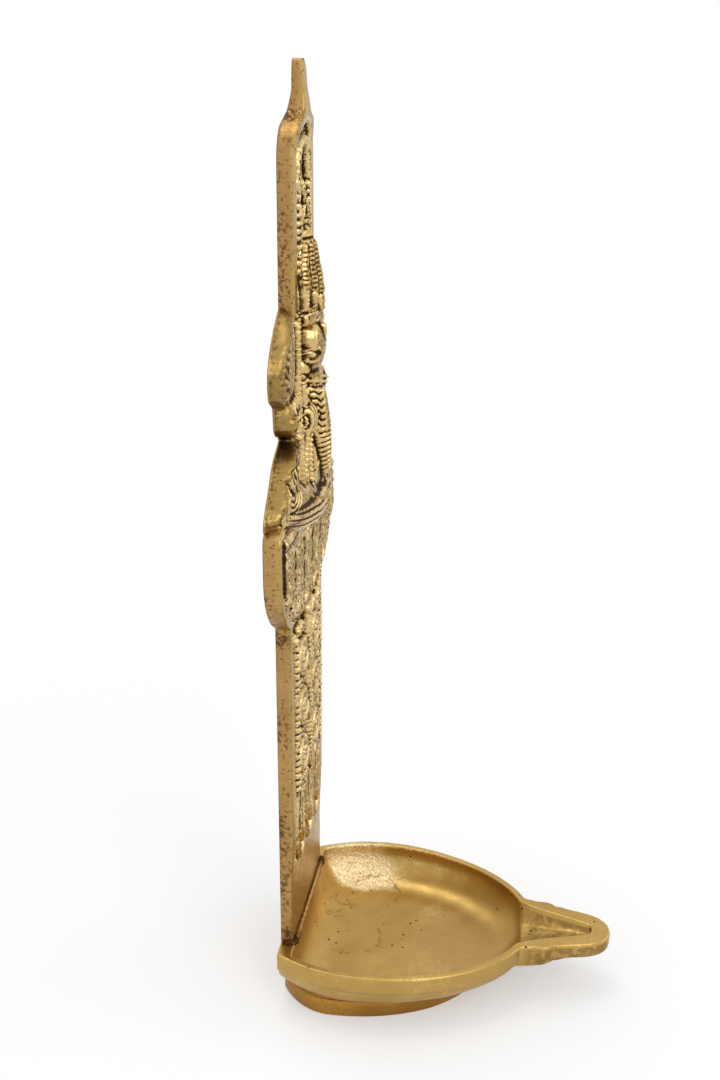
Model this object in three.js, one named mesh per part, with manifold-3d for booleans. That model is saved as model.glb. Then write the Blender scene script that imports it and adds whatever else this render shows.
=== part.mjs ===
// A cast brass wall lamp. A carved back plate carries a seated elephant-headed figure, above a shallow oil
// bowl with a wick spout and a round foot. Millimetres, +Z up, the wall behind at +Y, the spout towards -Y.
import * as THREE from 'three';
import { ConvexGeometry } from 'three/addons/geometries/ConvexGeometry.js';
import { mergeVertices } from 'three/addons/utils/BufferGeometryUtils.js';
import Module from 'manifold-3d';

const wasm = await Module();
wasm.setup();

// Gap where one casting is fitted to another.
const FIT_GAP = 0.3;

// Foot: a low rounded foot under the bowl, widest near the wall and flat where it comes close to it.
const FOOT_HALF_WIDTH = 34;
const FOOT_BACK_HALF = 21;
const FOOT_WIDEST_AT = 18.5;
const FOOT_FRONT_REACH = 49.5;
const FOOT_HEIGHT = 7.5;
const FOOT_WALL_GAP = 0.5;
const FOOT_EDGE = 1.2;
const FOOT_RING_WIDTH = 6;
const FOOT_HOLLOW = 2;
const FOOT_SHOULDER = 1.5;

// Bowl: two half ellipses in plan, wide near the wall and long towards the spout.
const BOWL_HALF_WIDTH = 40;
const BOWL_BACK_HALF = 32.5;
const BOWL_WIDEST_AT = 28;
const BOWL_FRONT_REACH = 58;
const BAND_HEIGHT = 6.5;
const DISH_DROP = 8;
const DISH_INSET = 1.2;
const RIM_WIDTH = 2.8;
const FLOOR_THICKNESS = 3;
const FLOOR_FILLET = 12;

// Spout: a flat shoulder at the neck, then a taper to a rounded tip.
const NECK_HALF = 13.5;
const NECK_LENGTH = 4;
const SPOUT_LENGTH = 26.5;
const SPOUT_ROOT_HALF = 16;
const SPOUT_MID_HALF = 9.5;
const SPOUT_TIP_HALF = 4.6;
const SPOUT_THICKNESS = 6;
const CHANNEL_ROOT_HALF = 12;
const CHANNEL_NECK_HALF = 7.5;
const CHANNEL_TIP_HALF = 2.2;
const CHANNEL_TIP_DEPTH = 3;
const CHANNEL_FLOOR_THICKNESS = 1.8;
const CHANNEL_FLOOR_SHARE = 0.35;
const CHANNEL_END_WALL = 7;
const CHANNEL_OVERLAP = 12;

// Back plate: panel, seat lobes, waist, head backing, arch and finial, one above another.
const GROUND_THICKNESS = 3.8;
const BORDER_THICKNESS = 5;
const BORDER_WIDTH = 5;
const PANEL_FOOT_HALF = 25.5;
const PANEL_TOP_HALF = 27;
const PLAIN_FOOT_HEIGHT = 28;
const SEAT_RISE = 143;
const SEAT_HALF = 42.5;
const SEAT_HALF_HEIGHT = 31;
const WAIST_HALF = 18;
const FIGURE_RISE = 60;
const HEAD_BACKING_HALF = 28.5;
const HEAD_BACKING_HALF_HEIGHT = 18;
const ARCH_RISE = 57;
const ARCH_HALF = 15.7;
const ARCH_HEAD = 14.5;
const FINIAL_HEIGHT = 15.5;
const FINIAL_HALF = 3;
const FINIAL_FLARE_HALF = 10;
const FINIAL_FLARE_HEIGHT = 5;
const FINIAL_SINK = 2.5;
const FINIAL_BACK = 2;
const FINIAL_FRONT = 5.9;
const NAIL_HOLE_RADIUS = 3.3;
const NAIL_HOLE_RISE = 46;

// Carving on the plate: a leafy stem up the panel and a row of lotus petals under the figure.
const LEAF_ROWS = 5;
const LEAF_HALF_LENGTH = 8.5;
const LEAF_HALF_WIDTH = 3.8;
const LEAF_HEIGHT = 1.7;
const LEAF_OUT = 10;
const LEAF_TILT = 38;
const STEM_HALF_WIDTH = 1.8;
const BUD_RADIUS = 4.6;
const PETAL_COUNT = 7;
const PETAL_PITCH = 9.6;
const PETAL_HALF_WIDTH = 4.6;
const PETAL_HALF_HEIGHT = 8.5;
const PETAL_HEIGHT = 2;
const PETAL_DROP = 12;

// Figure: every form is a flattened ball. Its middle lies on the plate's ground, or nearer to the wall where
// the form wraps round the plate's edge.
const WRAP_MIDDLE = 2.5;
const HEAD_HALF_WIDTH = 12.5;
const HEAD_HALF_HEIGHT = 12;
const HEAD_PROUD = 7.2;
const EAR_OVERHANG = 4.5;
const EAR_HALF_WIDTH = 11;
const EAR_HALF_HEIGHT = 14;
const EAR_PROUD = 4;
const CROWN_TIERS = 4;
const CROWN_BASE_HALF = 10.5;
const CROWN_TIP_HALF = 3.2;
const CROWN_HEIGHT = 24;
const CROWN_PROUD = 6;
const TRUNK_FOLDS = 9;
const TRUNK_ROOT_RADIUS = 5.4;
const TRUNK_TIP_RADIUS = 3;
const TRUNK_LENGTH = 30;
const TRUNK_SWING = 9;
const TRUNK_PROUD = 7.6;
const BELLY_HALF_WIDTH = 17;
const BELLY_HALF_HEIGHT = 15;
const BELLY_PROUD = 8.4;
const BELLY_RISE = 22;
const CHEST_HALF_WIDTH = 16.5;
const CHEST_HALF_HEIGHT = 10;
const CHEST_PROUD = 6.5;
const CHEST_RISE = 39;
const ARM_HALF_WIDTH = 7.5;
const ARM_HALF_HEIGHT = 8.5;
const ARM_PROUD = 3.4;
const ARM_OVERLAP = 5;
const ARM_LIFT = 6;
const FOREARM_HALF_WIDTH = 5.5;
const FOREARM_PROUD = 3;
const KNEE_INSET = 0.2;
const KNEE_HALF_WIDTH = 9.8;
const KNEE_HALF_HEIGHT = 8.5;
const KNEE_PROUD = 4.4;
const KNEE_RISE = 18;
const SHIN_OUT = 15;
const SHIN_HALF_WIDTH = 18;
const SHIN_HALF_HEIGHT = 6.5;
const SHIN_PROUD = 5.4;
const SHIN_RISE = 8;
const SHIN_TILT = 14;

// Braze along the seam of plate and bowl.
const BEAD_RADIUS = 1.7;

// Facets.
const ARC_SEGMENTS = 32;
const SIDE_SEGMENTS = 6;
const FILLET_STEPS = 6;
const BALL_AROUND = 14;
const BALL_ALONG = 10;
const BEAD_SEGMENTS = 12;
const PLAIN_EXTRUSION = { bevelEnabled: false, curveSegments: ARC_SEGMENTS };

// Heights and depths that follow from the sizes above.
const BAND_BOTTOM_Z = FOOT_HEIGHT + DISH_DROP;
const RIM_Z = BAND_BOTTOM_Z + BAND_HEIGHT;
const FLOOR_Z = FOOT_HEIGHT + FLOOR_THICKNESS;
const SEAT_Z = RIM_Z + SEAT_RISE;
const HEAD_Z = SEAT_Z + FIGURE_RISE;
const ARCH_SPRING_Z = HEAD_Z + ARCH_RISE;
const ARCH_TOP_Z = ARCH_SPRING_Z + ARCH_HEAD;
const BOWL_FRONT = BOWL_WIDEST_AT + BOWL_FRONT_REACH;
const LAMP_DEPTH = BOWL_FRONT + SPOUT_LENGTH;
const CUT_MARGIN = 1;

// Plans of bowl and foot: each is flat at the back, widest near the wall and long towards the spout.
const BOWL_PLAN = {
  half: BOWL_HALF_WIDTH,
  backHalf: BOWL_BACK_HALF,
  widestAt: BOWL_WIDEST_AT,
  frontReach: BOWL_FRONT_REACH,
};
const FOOT_PLAN = {
  half: FOOT_HALF_WIDTH,
  backHalf: FOOT_BACK_HALF,
  widestAt: FOOT_WIDEST_AT,
  frontReach: FOOT_FRONT_REACH,
};

// The knees end with the seat, and the ears stand out past the head's backing.
const KNEE_X = SEAT_HALF - KNEE_HALF_WIDTH - KNEE_INSET;
const EAR_X = HEAD_BACKING_HALF + EAR_OVERHANG - EAR_HALF_WIDTH;

// Turns a closed geometry into a solid that can be joined and cut.
function toSolid(geometry) {
  const bare = geometry.clone();
  bare.deleteAttribute('normal');
  bare.deleteAttribute('uv');
  const merged = mergeVertices(bare);
  const triVerts = new Uint32Array(merged.index.array);
  const vertProperties = new Float32Array(merged.attributes.position.array);
  return new wasm.Manifold(new wasm.Mesh({ numProp: 3, vertProperties, triVerts }));
}

function toGeometry(solid) {
  const mesh = solid.getMesh();
  const geometry = new THREE.BufferGeometry();
  geometry.setAttribute('position', new THREE.BufferAttribute(new Float32Array(mesh.vertProperties), 3));
  geometry.setIndex(new THREE.BufferAttribute(new Uint32Array(mesh.triVerts), 1));
  geometry.computeVertexNormals();
  return geometry;
}

function joined(solids) {
  return solids.reduce((whole, solid) => whole.add(solid));
}

// Removes a neighbour from a solid and leaves the fitting gap on every side but the wall's.
function clearOf(solid, neighbour) {
  const shifts = [[0, 0], [FIT_GAP, 0], [-FIT_GAP, 0], [0, FIT_GAP], [0, -FIT_GAP]];
  const grown = joined(shifts.map(([x, z]) => neighbour.translate([x, 0, z])));
  return solid.subtract(grown).subtract(grown.translate([0, -FIT_GAP, 0]));
}

// A box from its low and high corners.
function boxBetween(low, high) {
  const size = high.map((value, axis) => value - low[axis]);
  const geometry = new THREE.BoxGeometry(...size);
  geometry.translate(...low.map((value, axis) => value + size[axis] / 2));
  return toSolid(geometry);
}

// Skins rings of equal length, given from the lowest to the highest, each anticlockwise from above.
function loft(rings) {
  const count = rings[0].length;
  const sumOf = (ring) => ring.reduce((sum, point) => sum.add(point), new THREE.Vector3());
  const centre = (ring) => sumOf(ring).divideScalar(count);
  const points = [...rings.flat(), centre(rings[0]), centre(rings[rings.length - 1])];
  const low = points.length - 2;
  const high = points.length - 1;
  const lastRing = (rings.length - 1) * count;
  const faces = [];
  for (let i = 0; i < count; i += 1) {
    const next = (i + 1) % count;
    for (let start = 0; start < lastRing; start += count) {
      faces.push(start + i, start + next, start + count + next);
      faces.push(start + i, start + count + next, start + count + i);
    }
    faces.push(low, next, i);
    faces.push(high, lastRing + i, lastRing + next);
  }
  const geometry = new THREE.BufferGeometry();
  geometry.setAttribute('position', new THREE.Float32BufferAttribute(points.flatMap((p) => p.toArray()), 3));
  geometry.setIndex(faces);
  return toSolid(geometry);
}

// Extrudes an outline drawn in X and Z from the wall to a depth in front of it.
function fromWall(shape, depth) {
  const geometry = new THREE.ExtrudeGeometry(shape, { depth, ...PLAIN_EXTRUSION });
  geometry.rotateX(Math.PI / 2);
  return toSolid(geometry);
}

// Extrudes an outline drawn in X and Y between two heights.
function upright(shape, lowZ, highZ) {
  const geometry = new THREE.ExtrudeGeometry(shape, { depth: highZ - lowZ, ...PLAIN_EXTRUSION });
  geometry.translate(0, 0, lowZ);
  return toSolid(geometry);
}

function mirroredShape(rightHalf) {
  const left = rightHalf.map(([x, z]) => [-x, z]).reverse();
  return new THREE.Shape([...rightHalf, ...left].map(([x, z]) => new THREE.Vector2(x, z)));
}

function ellipseShape(z, halfWidth, halfHeight) {
  const shape = new THREE.Shape();
  shape.absellipse(0, z, halfWidth, halfHeight, 0, 2 * Math.PI, false, 0);
  return shape;
}

// A flattened ball on the plate: proud is its reach in front of its middle, tilt turns it about Y.
function ball({ x = 0, z, halfWidth, proud, halfHeight, tilt = 0, middle = GROUND_THICKNESS }) {
  const geometry = new THREE.SphereGeometry(1, BALL_AROUND, BALL_ALONG);
  geometry.scale(halfWidth, proud, halfHeight);
  geometry.rotateY(THREE.MathUtils.degToRad(tilt));
  geometry.translate(x, -middle, z);
  return toSolid(geometry);
}

// The same ball on both sides of the middle.
function ballPair(form) {
  return [ball(form), ball({ ...form, x: -form.x, tilt: -(form.tilt ?? 0) })];
}

// The outline of a plan, drawn in from its edge by inset, with its straight back at backY.
function planRing(plan, inset, backY, z) {
  const half = plan.half - inset;
  const front = plan.frontReach - inset;
  const back = plan.widestAt / Math.sqrt(1 - (plan.backHalf / plan.half) ** 2) - inset;
  const backAngle = Math.asin((plan.widestAt + backY) / back);
  const backHalf = half * Math.cos(backAngle);
  const ring = [];
  for (let i = 0; i < ARC_SEGMENTS; i += 1) {
    const angle = (Math.PI * i) / ARC_SEGMENTS;
    ring.push(new THREE.Vector3(-half * Math.cos(angle), -plan.widestAt - front * Math.sin(angle), z));
  }
  for (let i = 0; i < SIDE_SEGMENTS; i += 1) {
    const angle = (backAngle * i) / SIDE_SEGMENTS;
    ring.push(new THREE.Vector3(half * Math.cos(angle), -plan.widestAt + back * Math.sin(angle), z));
  }
  for (let i = 0; i < SIDE_SEGMENTS; i += 1) {
    ring.push(new THREE.Vector3(backHalf * (1 - (2 * i) / SIDE_SEGMENTS), backY, z));
  }
  for (let i = SIDE_SEGMENTS; i > 0; i -= 1) {
    const angle = (backAngle * i) / SIDE_SEGMENTS;
    ring.push(new THREE.Vector3(-half * Math.cos(angle), -plan.widestAt + back * Math.sin(angle), z));
  }
  return ring;
}

// Quarter turns from 0 to 1, for a curve that starts upright and ends level.
function filletSteps() {
  return Array.from({ length: FILLET_STEPS + 1 }, (_, step) => (Math.PI / 2) * (step / FILLET_STEPS));
}

// The underside between the rim band and the foot.
function makeDish() {
  const edge = planRing(BOWL_PLAN, DISH_INSET, 0, BAND_BOTTOM_Z);
  const footing = planRing(FOOT_PLAN, FOOT_SHOULDER, -FOOT_WALL_GAP, BAND_BOTTOM_Z);
  const rings = filletSteps().map((turn) => edge.map((point, index) => {
    const place = point.clone().lerp(footing[index], 1 - Math.cos(turn));
    return place.setZ(BAND_BOTTOM_Z - DISH_DROP * Math.sin(turn));
  }));
  const collar = planRing(BOWL_PLAN, DISH_INSET, 0, BAND_BOTTOM_Z + BAND_HEIGHT / 2);
  return loft([...rings.reverse(), collar]);
}

function makeSpout() {
  const tipY = -LAMP_DEPTH;
  const neckEndY = -BOWL_FRONT - NECK_LENGTH;
  const rootY = -BOWL_FRONT + CHANNEL_OVERLAP;
  const midY = (neckEndY + tipY) / 2;
  const taper = new THREE.SplineCurve([
    new THREE.Vector2(NECK_HALF, neckEndY),
    new THREE.Vector2(SPOUT_MID_HALF, midY),
    new THREE.Vector2(SPOUT_TIP_HALF, tipY + SPOUT_TIP_HALF / 2),
    new THREE.Vector2(0, tipY),
  ]);
  const side = taper.getPoints(BEAD_SEGMENTS).map((point) => [point.x, point.y]);
  const right = [[SPOUT_ROOT_HALF, rootY], [NECK_HALF, -BOWL_FRONT], ...side];
  const left = right.slice(0, -1).map(([x, y]) => [-x, y]).reverse();
  const shape = new THREE.Shape([...right, ...left].map(([x, y]) => new THREE.Vector2(x, y)));
  return upright(shape, RIM_Z - SPOUT_THICKNESS, RIM_Z);
}

// The hollow of the bowl: an upright wall that runs into a level floor by one fillet.
function makeHollow() {
  const depth = RIM_Z - FLOOR_Z;
  const rings = filletSteps().map((turn) => {
    const inward = FLOOR_FILLET * (1 - Math.cos(turn));
    const inset = RIM_WIDTH + inward;
    return planRing(BOWL_PLAN, inset, -BORDER_THICKNESS - inward, RIM_Z - depth * Math.sin(turn));
  });
  const mouth = planRing(BOWL_PLAN, RIM_WIDTH, -BORDER_THICKNESS, RIM_Z + CUT_MARGIN);
  return loft([...rings.reverse(), mouth]);
}

// The wick's channel: wide and deep at the bowl, narrower past the neck and shallow towards the tip.
function makeChannel() {
  const section = (y, half, depth) => [
    new THREE.Vector3(half, y, RIM_Z + CUT_MARGIN),
    new THREE.Vector3(-half, y, RIM_Z + CUT_MARGIN),
    new THREE.Vector3(half * CHANNEL_FLOOR_SHARE, y, RIM_Z - depth),
    new THREE.Vector3(-half * CHANNEL_FLOOR_SHARE, y, RIM_Z - depth),
  ];
  const rootDepth = SPOUT_THICKNESS - CHANNEL_FLOOR_THICKNESS;
  const root = section(-BOWL_FRONT + CHANNEL_OVERLAP, CHANNEL_ROOT_HALF, rootDepth);
  const neck = section(-BOWL_FRONT - NECK_LENGTH, CHANNEL_NECK_HALF, rootDepth);
  const tip = section(-LAMP_DEPTH + CHANNEL_END_WALL, CHANNEL_TIP_HALF, CHANNEL_TIP_DEPTH);
  const mouth = toSolid(new ConvexGeometry([...root, ...neck]));
  return mouth.add(toSolid(new ConvexGeometry([...neck, ...tip])));
}

function makeBowl() {
  const band = loft([planRing(BOWL_PLAN, 0, 0, BAND_BOTTOM_Z), planRing(BOWL_PLAN, 0, 0, RIM_Z)]);
  return band.add(makeDish()).add(makeSpout()).subtract(makeHollow()).subtract(makeChannel());
}

// The foot stands on a flat ring round a shallow hollow.
function makeFoot() {
  const footRing = (inset, z) => planRing(FOOT_PLAN, inset, -FOOT_WALL_GAP, z);
  const innerRing = (inset, z) => planRing(FOOT_PLAN, inset, -FOOT_WALL_GAP - inset, z);
  const body = loft([
    footRing(FOOT_EDGE, 0),
    footRing(FOOT_EDGE / 3, FOOT_EDGE / 3),
    footRing(0, FOOT_EDGE),
    footRing(0, FOOT_HEIGHT - FOOT_EDGE),
    footRing(FOOT_SHOULDER, FOOT_HEIGHT),
  ]);
  const hollow = loft([
    innerRing(FOOT_RING_WIDTH - CUT_MARGIN, -CUT_MARGIN),
    innerRing(FOOT_RING_WIDTH + FOOT_HOLLOW, FOOT_HOLLOW),
  ]);
  return body.subtract(hollow);
}

// The panel's half width at a height, between its foot and the seat.
function panelHalfAt(z) {
  return THREE.MathUtils.lerp(PANEL_FOOT_HALF, PANEL_TOP_HALF, (z - RIM_Z) / SEAT_RISE);
}

function panelShape(inset, lowZ, highZ) {
  return mirroredShape([[panelHalfAt(lowZ) - inset, lowZ], [panelHalfAt(highZ) - inset, highZ]]);
}

function archShape(inset, lowZ) {
  const half = ARCH_HALF - inset;
  const shape = new THREE.Shape();
  shape.moveTo(-half, lowZ);
  shape.lineTo(half, lowZ);
  shape.lineTo(half, ARCH_SPRING_Z);
  shape.absellipse(0, ARCH_SPRING_Z, half, ARCH_HEAD - inset, 0, Math.PI, false, 0);
  return shape;
}

// The finial flares into the arch's head, and its upper part stands a little off the wall.
function makeFinial() {
  const baseZ = ARCH_TOP_Z - FINIAL_SINK;
  const neckZ = ARCH_TOP_Z + FINIAL_FLARE_HEIGHT;
  const tipZ = ARCH_TOP_Z + FINIAL_HEIGHT;
  const ring = (half, back, front, z) => [
    new THREE.Vector3(-half, -front, z),
    new THREE.Vector3(half, -front, z),
    new THREE.Vector3(half, -back, z),
    new THREE.Vector3(-half, -back, z),
  ];
  const flare = filletSteps().map((turn) => ring(
    THREE.MathUtils.lerp(FINIAL_FLARE_HALF, FINIAL_HALF, Math.sin(turn)),
    FINIAL_BACK * (1 - Math.cos(turn)),
    THREE.MathUtils.lerp(BORDER_THICKNESS, FINIAL_FRONT, Math.sin(turn)),
    THREE.MathUtils.lerp(baseZ, neckZ, 1 - Math.cos(turn)),
  ));
  return loft([
    ...flare,
    ring(FINIAL_HALF, FINIAL_BACK, FINIAL_FRONT, tipZ - FINIAL_HALF / 2),
    ring(FINIAL_HALF / 2, FINIAL_BACK, FINIAL_FRONT, tipZ),
  ]);
}

// A raised border between an outer outline and the same outline drawn in.
function border(outer, inner) {
  return fromWall(outer, BORDER_THICKNESS).subtract(fromWall(inner, BORDER_THICKNESS + CUT_MARGIN));
}

function makeLeaves() {
  const lowZ = RIM_Z + PLAIN_FOOT_HEIGHT;
  const highZ = SEAT_Z - SEAT_HALF_HEIGHT;
  const pitch = (highZ - lowZ) / LEAF_ROWS;
  const stem = mirroredShape([
    [STEM_HALF_WIDTH, lowZ - BORDER_WIDTH / 2],
    [STEM_HALF_WIDTH, highZ + BORDER_WIDTH / 2],
  ]);
  const leaf = { x: LEAF_OUT, halfWidth: LEAF_HALF_LENGTH, proud: LEAF_HEIGHT, halfHeight: LEAF_HALF_WIDTH };
  const bud = { halfWidth: BUD_RADIUS, proud: LEAF_HEIGHT, halfHeight: BUD_RADIUS };
  const forms = [fromWall(stem, GROUND_THICKNESS + LEAF_HEIGHT / 2)];
  for (let row = 0; row < LEAF_ROWS; row += 1) {
    const z = lowZ + pitch * (row + 1 / 2);
    forms.push(...ballPair({ ...leaf, z, tilt: -LEAF_TILT }));
    forms.push(ball({ ...bud, z: z - pitch / 2 + BUD_RADIUS }));
  }
  return forms;
}

function makePetals() {
  const middle = (PETAL_COUNT - 1) / 2;
  return Array.from({ length: PETAL_COUNT }, (_, index) => ball({
    x: (index - middle) * PETAL_PITCH,
    z: SEAT_Z - PETAL_DROP,
    halfWidth: PETAL_HALF_WIDTH,
    proud: PETAL_HEIGHT,
    halfHeight: PETAL_HALF_HEIGHT,
  }));
}

function makePlate() {
  const waist = mirroredShape([[WAIST_HALF, SEAT_Z], [WAIST_HALF, HEAD_Z]]);
  const slabs = [
    panelShape(0, RIM_Z, SEAT_Z),
    ellipseShape(SEAT_Z, SEAT_HALF, SEAT_HALF_HEIGHT),
    waist,
    ellipseShape(HEAD_Z, HEAD_BACKING_HALF, HEAD_BACKING_HALF_HEIGHT),
    archShape(0, HEAD_Z),
  ].map((shape) => fromWall(shape, GROUND_THICKNESS));
  const fieldLowZ = RIM_Z + PLAIN_FOOT_HEIGHT;
  const plainFoot = fromWall(panelShape(0, RIM_Z, fieldLowZ), BORDER_THICKNESS);
  const seatEntryZ = SEAT_Z - SEAT_HALF_HEIGHT * Math.sqrt(1 - (PANEL_TOP_HALF / SEAT_HALF) ** 2);
  const panelEdge = border(
    panelShape(0, fieldLowZ, seatEntryZ),
    panelShape(BORDER_WIDTH, fieldLowZ - BORDER_WIDTH, seatEntryZ + BORDER_WIDTH),
  );
  const seatEdge = border(
    ellipseShape(SEAT_Z, SEAT_HALF, SEAT_HALF_HEIGHT),
    ellipseShape(SEAT_Z, SEAT_HALF - BORDER_WIDTH, SEAT_HALF_HEIGHT - BORDER_WIDTH),
  );
  const archEdge = border(archShape(0, HEAD_Z), archShape(BORDER_WIDTH, HEAD_Z));
  const nail = new THREE.CylinderGeometry(
    NAIL_HOLE_RADIUS,
    NAIL_HOLE_RADIUS,
    2 * BORDER_THICKNESS + CUT_MARGIN,
    BEAD_SEGMENTS * 2,
  );
  nail.translate(0, -BORDER_THICKNESS / 2, HEAD_Z + NAIL_HOLE_RISE);
  const carving = [...makeLeaves(), ...makePetals()];
  const raised = [plainFoot, panelEdge, seatEdge, archEdge, makeFinial(), ...carving];
  const reach = LAMP_DEPTH;
  const wall = boxBetween([-reach, 0, 0], [reach, reach, HEAD_Z + reach]);
  return joined([...slabs, ...raised]).subtract(toSolid(nail)).subtract(wall);
}

function makeHead() {
  const ear = {
    x: EAR_X,
    z: HEAD_Z + HEAD_HALF_HEIGHT / 3,
    halfWidth: EAR_HALF_WIDTH,
    proud: EAR_PROUD,
    halfHeight: EAR_HALF_HEIGHT,
    middle: WRAP_MIDDLE,
  };
  const dome = { z: HEAD_Z, halfWidth: HEAD_HALF_WIDTH, proud: HEAD_PROUD, halfHeight: HEAD_HALF_HEIGHT };
  return [ball(dome), ...ballPair(ear)];
}

function makeCrown() {
  const baseZ = HEAD_Z + HEAD_HALF_HEIGHT * 3 / 4;
  return Array.from({ length: CROWN_TIERS }, (_, tier) => {
    const share = tier / (CROWN_TIERS - 1);
    return ball({
      z: baseZ + CROWN_HEIGHT * share * (CROWN_TIERS - 1) / CROWN_TIERS,
      halfWidth: THREE.MathUtils.lerp(CROWN_BASE_HALF, CROWN_TIP_HALF, share),
      proud: THREE.MathUtils.lerp(CROWN_PROUD, CROWN_TIP_HALF, share),
      halfHeight: CROWN_HEIGHT / CROWN_TIERS,
    });
  });
}

// The trunk hangs from the face in overlapping folds and swings to one side.
function makeTrunk() {
  return Array.from({ length: TRUNK_FOLDS }, (_, fold) => {
    const share = fold / (TRUNK_FOLDS - 1);
    const radius = THREE.MathUtils.lerp(TRUNK_ROOT_RADIUS, TRUNK_TIP_RADIUS, share);
    return ball({
      x: -TRUNK_SWING * share * share,
      z: HEAD_Z - HEAD_HALF_HEIGHT / 2 - TRUNK_LENGTH * share,
      halfWidth: radius,
      proud: THREE.MathUtils.lerp(TRUNK_PROUD, BELLY_PROUD + TRUNK_TIP_RADIUS / 2, share),
      halfHeight: radius / 2 + TRUNK_LENGTH / TRUNK_FOLDS / 4,
    });
  });
}

function makeBody() {
  const belly = {
    z: SEAT_Z + BELLY_RISE,
    halfWidth: BELLY_HALF_WIDTH,
    proud: BELLY_PROUD,
    halfHeight: BELLY_HALF_HEIGHT,
  };
  const chest = {
    z: SEAT_Z + CHEST_RISE,
    halfWidth: CHEST_HALF_WIDTH,
    proud: CHEST_PROUD,
    halfHeight: CHEST_HALF_HEIGHT,
  };
  return [ball(belly), ball(chest)];
}

// Each upper arm grows out of the chest, and its forearm runs down to the knee on its side.
function makeArms() {
  const arm = {
    x: CHEST_HALF_WIDTH + ARM_HALF_WIDTH - ARM_OVERLAP,
    z: SEAT_Z + CHEST_RISE + ARM_LIFT,
    halfWidth: ARM_HALF_WIDTH,
    proud: ARM_PROUD,
    halfHeight: ARM_HALF_HEIGHT,
  };
  const across = KNEE_X - arm.x;
  const down = arm.z - SEAT_Z - KNEE_RISE;
  const forearm = {
    x: arm.x + across / 2,
    z: arm.z - down / 2,
    halfWidth: FOREARM_HALF_WIDTH,
    proud: FOREARM_PROUD,
    halfHeight: Math.hypot(across, down) / 2,
    tilt: -THREE.MathUtils.radToDeg(Math.atan2(across, down)),
  };
  return [...ballPair(arm), ...ballPair(forearm)];
}

function makeLegs() {
  const knee = {
    x: KNEE_X,
    z: SEAT_Z + KNEE_RISE,
    halfWidth: KNEE_HALF_WIDTH,
    proud: KNEE_PROUD,
    halfHeight: KNEE_HALF_HEIGHT,
    middle: WRAP_MIDDLE,
  };
  const shin = {
    x: SHIN_OUT,
    z: SEAT_Z + SHIN_RISE,
    halfWidth: SHIN_HALF_WIDTH,
    proud: SHIN_PROUD,
    halfHeight: SHIN_HALF_HEIGHT,
    tilt: -SHIN_TILT,
  };
  return [...ballPair(knee), ...ballPair(shin)];
}

function makeFigure(plate) {
  const upper = [...makeHead(), ...makeCrown(), ...makeTrunk()];
  const forms = joined([...upper, ...makeBody(), ...makeArms(), ...makeLegs()]);
  const reach = LAMP_DEPTH;
  const wall = boxBetween([-reach, -FIT_GAP, 0], [reach, reach, HEAD_Z + reach]);
  const slab = fromWall(ellipseShape(HEAD_Z, HEAD_BACKING_HALF, HEAD_BACKING_HALF_HEIGHT), GROUND_THICKNESS);
  return clearOf(forms.subtract(wall), plate.add(slab));
}

function beadRun(radius, length, turn, place) {
  const geometry = new THREE.CylinderGeometry(radius, radius, length, BEAD_SEGMENTS);
  if (turn) geometry.rotateZ(Math.PI / 2);
  geometry.translate(...place);
  return toSolid(geometry);
}

// Braze on top of the rim, along the plate's front and round both of its ends.
function makeBead() {
  const endX = PANEL_FOOT_HALF + FIT_GAP;
  const frontY = -BORDER_THICKNESS - FIT_GAP;
  const z = RIM_Z + FIT_GAP + BEAD_RADIUS;
  const endY = (frontY - FOOT_WALL_GAP) / 2;
  const endLength = -FOOT_WALL_GAP - frontY;
  const front = beadRun(BEAD_RADIUS, 2 * endX + BEAD_RADIUS, true, [0, frontY, z]);
  const right = beadRun(BEAD_RADIUS, endLength, false, [endX, endY, z]);
  const left = beadRun(BEAD_RADIUS, endLength, false, [-endX, endY, z]);
  const plate = boxBetween([-endX, frontY, 0], [endX, CUT_MARGIN, z + 2 * BEAD_RADIUS]);
  return joined([front, right, left]).subtract(plate);
}

// One brass for all the castings: bright where it is handled, darker where braze and dirt stay.
function brass(color, roughness) {
  return new THREE.MeshStandardMaterial({ color, roughness, metalness: 1 });
}

function piece(name, solid, material) {
  const mesh = new THREE.Mesh(toGeometry(solid), material);
  mesh.name = name;
  return mesh;
}

const plateSolid = makePlate();
const lamp = new THREE.Group();
lamp.position.y = LAMP_DEPTH / 2;
lamp.add(piece('back_plate', plateSolid, brass(0xb8924a, 0.42)));
lamp.add(piece('ganesha_relief', makeFigure(plateSolid), brass(0xc9a254, 0.34)));
lamp.add(piece('oil_bowl', makeBowl(), brass(0xc49c4c, 0.32)));
lamp.add(piece('bowl_foot', makeFoot(), brass(0xab8440, 0.4)));
lamp.add(piece('joint_bead', makeBead(), brass(0x6f4a2a, 0.7)));

const root = new THREE.Group();
root.add(lamp);

export default root;
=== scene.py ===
"""A cast brass wall lamp: a carved plate, a seated elephant-headed figure, an oil bowl and a D-shaped foot.

The shapes are drawn in millimetres with the wall at y = 0, the spout towards -y and +z up. A mesh is moved
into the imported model's frame, in metres, when it is made.
"""

from __future__ import annotations

import logging
import math
from collections.abc import Sequence
from dataclasses import dataclass, field
from enum import Enum

import bmesh
import bpy
import numpy as np
from mathutils import Matrix, Vector


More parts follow.
